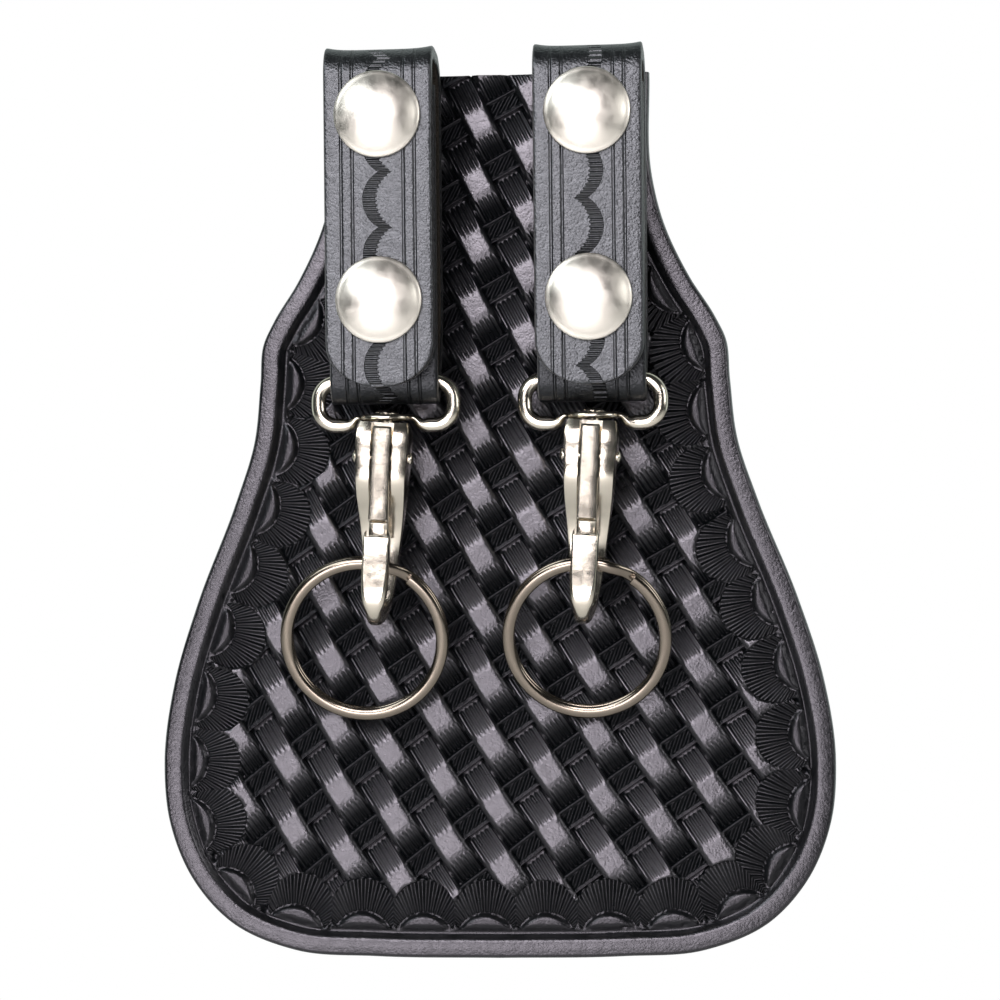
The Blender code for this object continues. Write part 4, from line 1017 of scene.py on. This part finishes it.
def dress_snaps(side):
    """Each strap's snaps and rivets, as (radius, height) outlines from the leather's face."""
    flap = "flap_" + side
    socket = [(1.7, 0.2), (1.7, 0.7), (2.4, 0.7), (2.4, 1.75), (2.75, 1.92), (3.2, 1.92),
              (3.5, 1.75), (3.5, 0.7), (5.6, 0.7), (5.7, 1.15), (5.95, 1.3), (6.15, 1.1),
              (6.2, 0.7), (6.2, 0.2)]
    stud = [(0.0, 1.9), (1.0, 1.86), (1.5, 1.66), (1.85, 1.4), (2.0, 1.1), (1.85, 0.85),
            (1.9, 0.75), (4.7, 0.75), (5.0, 0.55), (5.0, 0.3), (1.3, 0.3), (1.3, 1.45),
            (0.0, 1.45)]
    post = [(0.0, 3.45), (0.95, 3.45), (1.1, 3.3), (1.1, 0.0), (4.5, 0.0), (4.5, -0.25),
            (4.25, -0.5), (0.0, -0.5)]
    head = [(0.0, 0.6), (2.6, 0.6), (3.2, 0.5), (3.6, 0.2), (3.6, 0.0), (1.4, 0.0),
            (1.4, -5.9), (0.0, -5.9)]
    burr = [(1.6, 0.6), (3.4, 0.6), (3.85, 0.45), (4.0, 0.2), (4.0, 0.0), (1.6, 0.0)]
    for name, profile, depth, body, forward in (
            ("snap_cap", cap_profile(), -12.0, flap, True),
            ("snap_socket", socket, -9.3, flap, False), ("snap_stud", stud, -6.3, "root", True),
            ("snap_post", post, -3.6, "root", True)):
        fasteners(name, side, profile, depth, SNAP_HEIGHTS, CAP_NICKEL, body, "snap_nickel",
                  forward)
    for name, profile, depth, forward in (
            ("panel_rivet", head, 3.7, True), ("rivet_burr", burr, 8.9, False)):
        fasteners(name, side, profile, depth, RIVET_HEIGHTS, RIVET_NICKEL, "root",
                  "rivet_nickel", forward)


# Hooks
def swivel_frame(side):
    """Place of a hook's swivel: its axis leans to one side."""
    middle = Matrix.Translation((SIDES[side] * STRAP_X, SWIVEL_Y, HOOK_TOP))
    return middle @ Matrix.Rotation(HOOK_LEAN, 4, "Y")


def hook_loop(side):
    """Wire loop, forged flat at the bottom into the boss that the swivel turns in."""
    half, radius, low = 12.0, 3.3, -7.7
    route = [(-4.6, low + 1.33), (-5.2, low + 1.25), (-5.7, low + 0.75), (-6.15, low + 0.22),
             (-6.75, low), (-8.7, low)]
    route += arc((-half + radius, low + radius), radius, -pi / 2, -pi, 10)[1:]
    route += arc((-half + radius, -radius), radius, pi, pi / 2, 10)
    route = np.array(route + [(-x, z) for x, z in route[::-1]])
    route, lengths = resample(route, 0.5)
    tangent = unit(np.gradient(route, axis=0))
    end = np.minimum(lengths, lengths[-1] - lengths)
    forged = np.clip((3.4 - end) / 3.0, 0, 1)
    turns = np.linspace(0, 2 * pi, 20, endpoint=False)
    sections = []
    for (x, z), (along_x, along_z), flat in zip(route, tangent, forged):
        wide = 1.3 + 0.5 * flat
        high = (1.3 - 0.76 * flat) * np.cos(turns)
        sections.append(np.stack([x - along_z * high, wide * np.sin(turns), z + along_x * high],
                                 axis=1))
    made = loft("hook_loop_wire_" + side, sections, HOOK_NICKEL)
    rim = [(1.55, 0.5), (1.7, 0.58), (4.3, 0.58), (4.65, 0.4), (4.8, 0.1), (4.8, -0.1),
           (4.65, -0.4), (4.3, -0.57), (1.7, -0.57), (1.55, -0.5)]
    boss = turned("boss_" + side, rim, 56, HOOK_NICKEL)
    place(boss, Matrix.Translation((0, 0, low + 1.325)) @ Matrix.Diagonal((1, 0.84, 1, 1)))
    joined = bmesh.new()
    for part in (made, boss):
        joined.from_mesh(part.data)
    joined.to_mesh(made.data)
    joined.free()
    bpy.data.objects.remove(boss, do_unlink=True)
    made.data.set_sharp_from_angle(angle=radians(50))
    place(made, Matrix.Translation((SIDES[side] * STRAP_X, SWIVEL_Y, BAR_Z)))
    hand_over(made, "loop_" + side, "hook_nickel", "hook_loop_" + side)


def hook_stations():
    """Sections along the hook: outer face's place and inward direction as (Y, Z), thickness,
    half width and half width of the outer flat."""
    centre = (HOOK_BACK - SHANK - THROAT, -HOOK_STRAIGHT)
    rows = []
    for drop, thick, wide, flat in SHANK_SHARES:
        rows.append((HOOK_BACK, -drop * HOOK_STRAIGHT, -1, 0, thick * HOOK_DEPTH, wide, flat))
    for share, wide, flat in BEND_SHARES:
        thickness = SHANK + (NOSE - SHANK) * share
        out_y, out_z = cos(pi * share), -sin(pi * share)
        reach = THROAT + thickness
        rows.append((centre[0] + out_y * reach, centre[1] + out_z * reach, -out_y, -out_z,
                     thickness, wide, flat))
    front = centre[0] - THROAT - NOSE
    for share, wide, flat, thick in NOSE_SHARES:
        height = -HOOK_STRAIGHT + (HOOK_STRAIGHT - NOSE_TIP) * share
        rows.append((front + (NOSE - thick * NOSE) * share, height, 1, 0, thick * NOSE, wide, flat))
    rows = np.array(rows)
    rows[:, 5:] *= HOOK_HALF
    return smooth_path(rows, 4)


def hook_body(side):
    """Cast hook: side walls, shank, bend and nose, with the gate's slot cut in its front."""
    sections = []
    for y, z, in_y, in_z, thick, half, flat in hook_stations():
        length = sqrt(in_y**2 + in_z**2)
        in_y, in_z = in_y / length, in_z / length
        bevel = min(0.3 * thick, 0.6 * NOSE)
        shoulder = [(flat + (half - flat) * sin(turn), bevel * (1 - cos(turn)))
                    for turn in np.linspace(0, pi / 2, 8)]
        edge = [(half, thick - 0.45), (half - 0.12, thick - 0.15), (half - 0.45, thick)]
        right = shoulder + edge
        outline = right + [(-x, depth) for x, depth in right[::-1]]
        sections.append([(x, y + in_y * depth, z + in_z * depth) for x, depth in outline])
    made = loft("hook_casting_" + side, sections, HOOK_NICKEL)
    floor, far, low = HOOK_BACK - SHANK + 0.2, -7.0, -20.3
    slot = [(far, 1.0), (-2.2, 1.0), (-2.2, -3.6), (floor, -3.8), (floor, low), (far, low)]
    cut(made, prism("slot", slot, 4.0))
    place(made, swivel_frame(side))
    hand_over(made, "hook_" + side, "hook_nickel", "hook_body_" + side)
    stem = [(0.0, 2.15), (1.2, 2.15), (1.8, 2.0), (2.1, 1.75), (2.1, 1.65), (1.25, 1.65),
            (1.25, -2.8), (0.0, -2.8)]
    made = place(turned("swivel_rivet_" + side, stem, 40, HOOK_NICKEL), swivel_frame(side))
    hand_over(made, "hook_" + side, "hook_nickel", "swivel_stem_" + side)
    end = [(0.0, 5.45), (0.5, 5.4), (0.9, 5.22), (1.15, 4.98), (1.18, 4.85), (0.8, 4.85)]
    pin = end + [(radius, -height) for radius, height in end[::-1]]
    made = turned("gate_rivet_" + side, pin, 32, HOOK_NICKEL)
    place(made, pivot_frame(side) @ Matrix.Rotation(pi / 2, 4, "Y"))
    hand_over(made, "hook_" + side, "hook_nickel", "gate_pin_" + side)


def pivot_frame(side):
    """Place of a gate's pin."""
    return swivel_frame(side) @ Matrix.Translation((0, -PIVOT_FRONT, -PIVOT_DROP))


def gate(side):
    """Thumb plate with its ears on the pin and its tongue behind the nose."""
    front, back, top, end, tip = -3.7, -2.1, 5.55, -11.35, -14.05
    tongue = PIVOT_FRONT - (SHANK + 2 * THROAT - HOOK_BACK) + 0.3
    outline = [(front, end + 0.5), (front + 0.4, end), (tongue, end), (tongue, tip + 0.4),
               (tongue + 0.4, tip), (tongue + 1.2, tip), (tongue + 1.2, end + 1.2),
               (back + 0.4, end + 3.2)]
    outline += arc((0, 0), 1.8, -pi / 3, pi / 2, 12)
    outline += [(back, 2.2), (back, top), (front + 0.4, top), (front, top - 0.4)]
    made = soften(prism("gate_plate_" + side, outline, 3.4, HOOK_NICKEL), 0.32)
    cut(made, prism("room", [(back, 2.8), (back, -4.1), (2.8, -4.1), (2.8, 2.8)], 1.9))
    bore = turned("bore", [(0.0, 3.0), (1.1, 3.0), (1.1, -3.0), (0.0, -3.0)], 24, None)
    cut(made, place(bore, Matrix.Rotation(pi / 2, 4, "Y")))
    place(made, pivot_frame(side))
    hand_over(made, "gate_" + side, "hook_nickel", "gate_" + side)
    made = place(gate_spring(side), pivot_frame(side))
    hand_over(made, "gate_" + side, "spring_steel", "gate_spring_" + side)


def wire_tree():
    """Sweep a round wire along a line of points."""
    tree, node, size = start_tree("round_wire", ("Wire radius",))
    curve = node("GeometryNodeMeshToCurve", size["Geometry"])
    ring = node("GeometryNodeCurvePrimitiveCircle",
                {"Resolution": 10, "Radius": size["Wire radius"]})
    swept = node("GeometryNodeCurveToMesh", {"Curve": curve, "Profile Curve": ring,
                                             "Fill Caps": True})
    return end_tree(tree, swept, SPRING_STEEL)


def gate_spring(side):
    """Torsion spring on the pin, one leg behind the gate and one on the shank."""
    coil = [((turn - 1.25) * 0.52, 1.25 * cos(pi + 2 * pi * turn), 1.25 * sin(pi + 2 * pi * turn))
            for turn in np.linspace(0, 2.5, 61)]
    route = [(-0.65, -1.72, -3.6)] + coil + [(coil[-1][0], 2.82, 1.25)]
    data = bpy.data.meshes.new("spring_line")
    data.from_pydata(np.array(route) * MM, [(i, i + 1) for i in range(len(route) - 1)], [])
    made = put("torsion_spring_" + side, data)
    return tidy(run_tree(made, wire_tree(), {"Wire radius": 0.18 * MM}))


def ring_tree():
    """Two turns of flat wire that change places at the jog by the cut end."""
    tree, node, size = start_tree("split_ring", RING_SIZES)
    count = 200
    jog = node("-", size["Jog end"], size["Jog start"])
    share = node("/", node("GeometryNodeInputIndex"), count - 1.0)
    turn = node("*", share, node("-", 4 * pi, jog))
    angle = node("+", turn, size["Jog end"])
    over = node("SMOOTHSTEP", turn, node("-", 2 * pi, jog), 2 * pi)
    height = node("*", node("*+", over, -2.0, 1.0), size["Reach"])
    spot = node("CombineXYZ", node("*", node("SINE", angle), size["Radius"]),
                node("*", node("COSINE", angle), size["Radius"]), height)
    line = node("GeometryNodeMeshLine", {"Count": count})
    line = node("GeometryNodeSetPosition", {"Geometry": line, "Position": spot})
    curve = node("GeometryNodeMeshToCurve", line)
    curve = node("GeometryNodeSetCurveNormal", curve, mode="Z_UP")
    oval = node("CombineXYZ", size["Wire width"], size["Wire thickness"], 1.0)
    wire = node("GeometryNodeCurvePrimitiveCircle", {"Resolution": 20, "Radius": 0.5})
    wire = node("GeometryNodeTransform", {"Geometry": wire, "Scale": oval})
    swept = node("GeometryNodeCurveToMesh", {"Curve": curve, "Profile Curve": wire,
                                             "Fill Caps": True})
    scale = node("GeometryNodeTransform", {"Geometry": swept, "Scale": (MM, MM, MM)})
    return end_tree(tree, scale, RING_NICKEL)


def split_ring(side, tree):
    made = put("key_ring_" + side, bpy.data.meshes.new("split_ring"))
    tidy(run_tree(made, tree, RING_SIZES), 50)
    shift = RING_SHIFT[side]
    hang = Matrix.Translation((shift, 0, -sqrt(RING_RADIUS**2 - shift**2)))
    hinge = Matrix.Translation((0, -RING_FORWARD[side], -RING_DROP))
    lean = Matrix.Rotation(RING_LEAN[side], 4, "X")
    upright = Matrix.Rotation(pi / 2, 4, "X")
    place(made, swivel_frame(side) @ hinge @ lean @ hang @ upright)
    hand_over(made, "ring_" + side, "ring_steel", "split_ring_" + side)


def dress_panel():
    stamps = stamp_frames()
    hand_over(tooled_field(stamps), "root", "tooled_leather", "back_panel")
    for piece in (tooled_border(stamps), flesh_side()):
        hand_over(piece, "root", "tooled_leather")


def dress_side(side):
    flap, strip = strap_strip(side)
    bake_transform(flap)
    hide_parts("strap_flap_" + side)
    hand_over(strip, "root", "strap_leather", "strap_" + side)
    dress_snaps(side)
    hook_loop(side)
    hook_body(side)
    gate(side)


dress_panel()
ring_shape = ring_tree()
for side in SIDES:
    dress_side(side)
    split_ring(side, ring_shape)


# Studio
CAMERA_PLACE = (0.053, -0.6284, -0.0525)
CAMERA_AIM = (0.001, 0.0066, -0.0525)
CAMERA_ROLL = radians(-0.58)
LENS = 128.25
LIGHT_AIM = (0.0, 0.0, -0.05)
SOFTBOXES = (                # place, size, power and colour
    ("front", (-0.09, -0.70, 0.165), (0.44, 0.29), 4.8, "#fffaff"),
    ("front_low", (-0.13, -0.66, -0.24), (0.40, 0.22), 2.6, "#fffaff"),
    ("upper_left", (-0.44, -0.48, 0.36), (0.34, 0.34), 2.2, "#f4fbff"),
    ("right", (0.60, -0.26, 0.10), (0.30, 0.30), 1.1, "#ffffff"),
    ("lower_left", (-0.45, -0.32, -0.38), (0.16, 0.16), 0.6, "#ffffff"),
)


def softbox(name, position, size, power, shade):
    light = bpy.data.lights.new(name, "AREA")
    light.shape = "RECTANGLE"
    light.size, light.size_y = size
    light.energy = power
    light.color = colour(shade)[:3]
    holder = put(name, light)
    holder.location = position
    facing = Vector(LIGHT_AIM) - Vector(position)
    holder.rotation_euler = facing.to_track_quat("-Z", "Y").to_euler()


def studio_world():
    """White behind the object for the camera and for gloss, a plain dim room elsewhere."""
    world = bpy.data.worlds.new("studio")
    world.use_nodes = True
    world.node_tree.nodes.clear()
    node = partial(add, world.node_tree)
    depth = node("SeparateXYZ", node("TexCoord"), out=1)
    behind = node("SMOOTHSTEP", depth, -0.15, 0.45)
    strength = node("*+", behind, 0.97, 0.03)
    room = node("Background", {"Strength": 0.22, "Color": colour("#e4ece8")})
    gloss = node("Background", {"Strength": strength, "Color": colour("#eaf6f3")})
    white = node("Background", {"Strength": 1.0, "Color": (1, 1, 1, 1)})
    camera, glossy, clear = (node("LightPath", out=out) for out in (0, 3, 6))
    seen = node("MixShader", {0: node("MAXIMUM", glossy, clear), 1: room, 2: gloss})
    seen = node("MixShader", {0: camera, 1: seen, 2: white})
    node("OutputWorld", {"Surface": seen})
    bpy.context.scene.world = world


def stage():
    camera = bpy.data.cameras.new("camera")
    camera.sensor_width = camera.sensor_height = 36.0
    camera.lens = LENS
    holder = put("camera", camera)
    holder.location = CAMERA_PLACE
    facing = (Vector(CAMERA_AIM) - Vector(CAMERA_PLACE)).to_track_quat("-Z", "Y")
    roll = Matrix.Rotation(CAMERA_ROLL, 4, "Z")
    holder.rotation_euler = (facing.to_matrix().to_4x4() @ roll).to_euler()
    bpy.context.scene.camera = holder
    floor = bpy.data.meshes.new("floor")
    floor.from_pydata([(-0.9, -0.9, -0.3), (0.9, -0.9, -0.3), (0.9, 0.7, -0.3), (-0.9, 0.7, -0.3)],
                      [], [(0, 1, 2, 3)])
    pale, node = new_material("pale_floor")
    seen = node("*", node("LightPath", out=0), 0.5)
    surface(node, Base_Color=colour("#f2f2f0"), Roughness=0.6, Emission_Color=(1, 1, 1, 1),
            Emission_Strength=seen)
    floor.materials.append(pale)
    put("floor", floor)
    studio_world()
    for softbox_values in SOFTBOXES:
        softbox(*softbox_values)
    bpy.context.scene.view_settings.view_transform = "Standard"


stage()
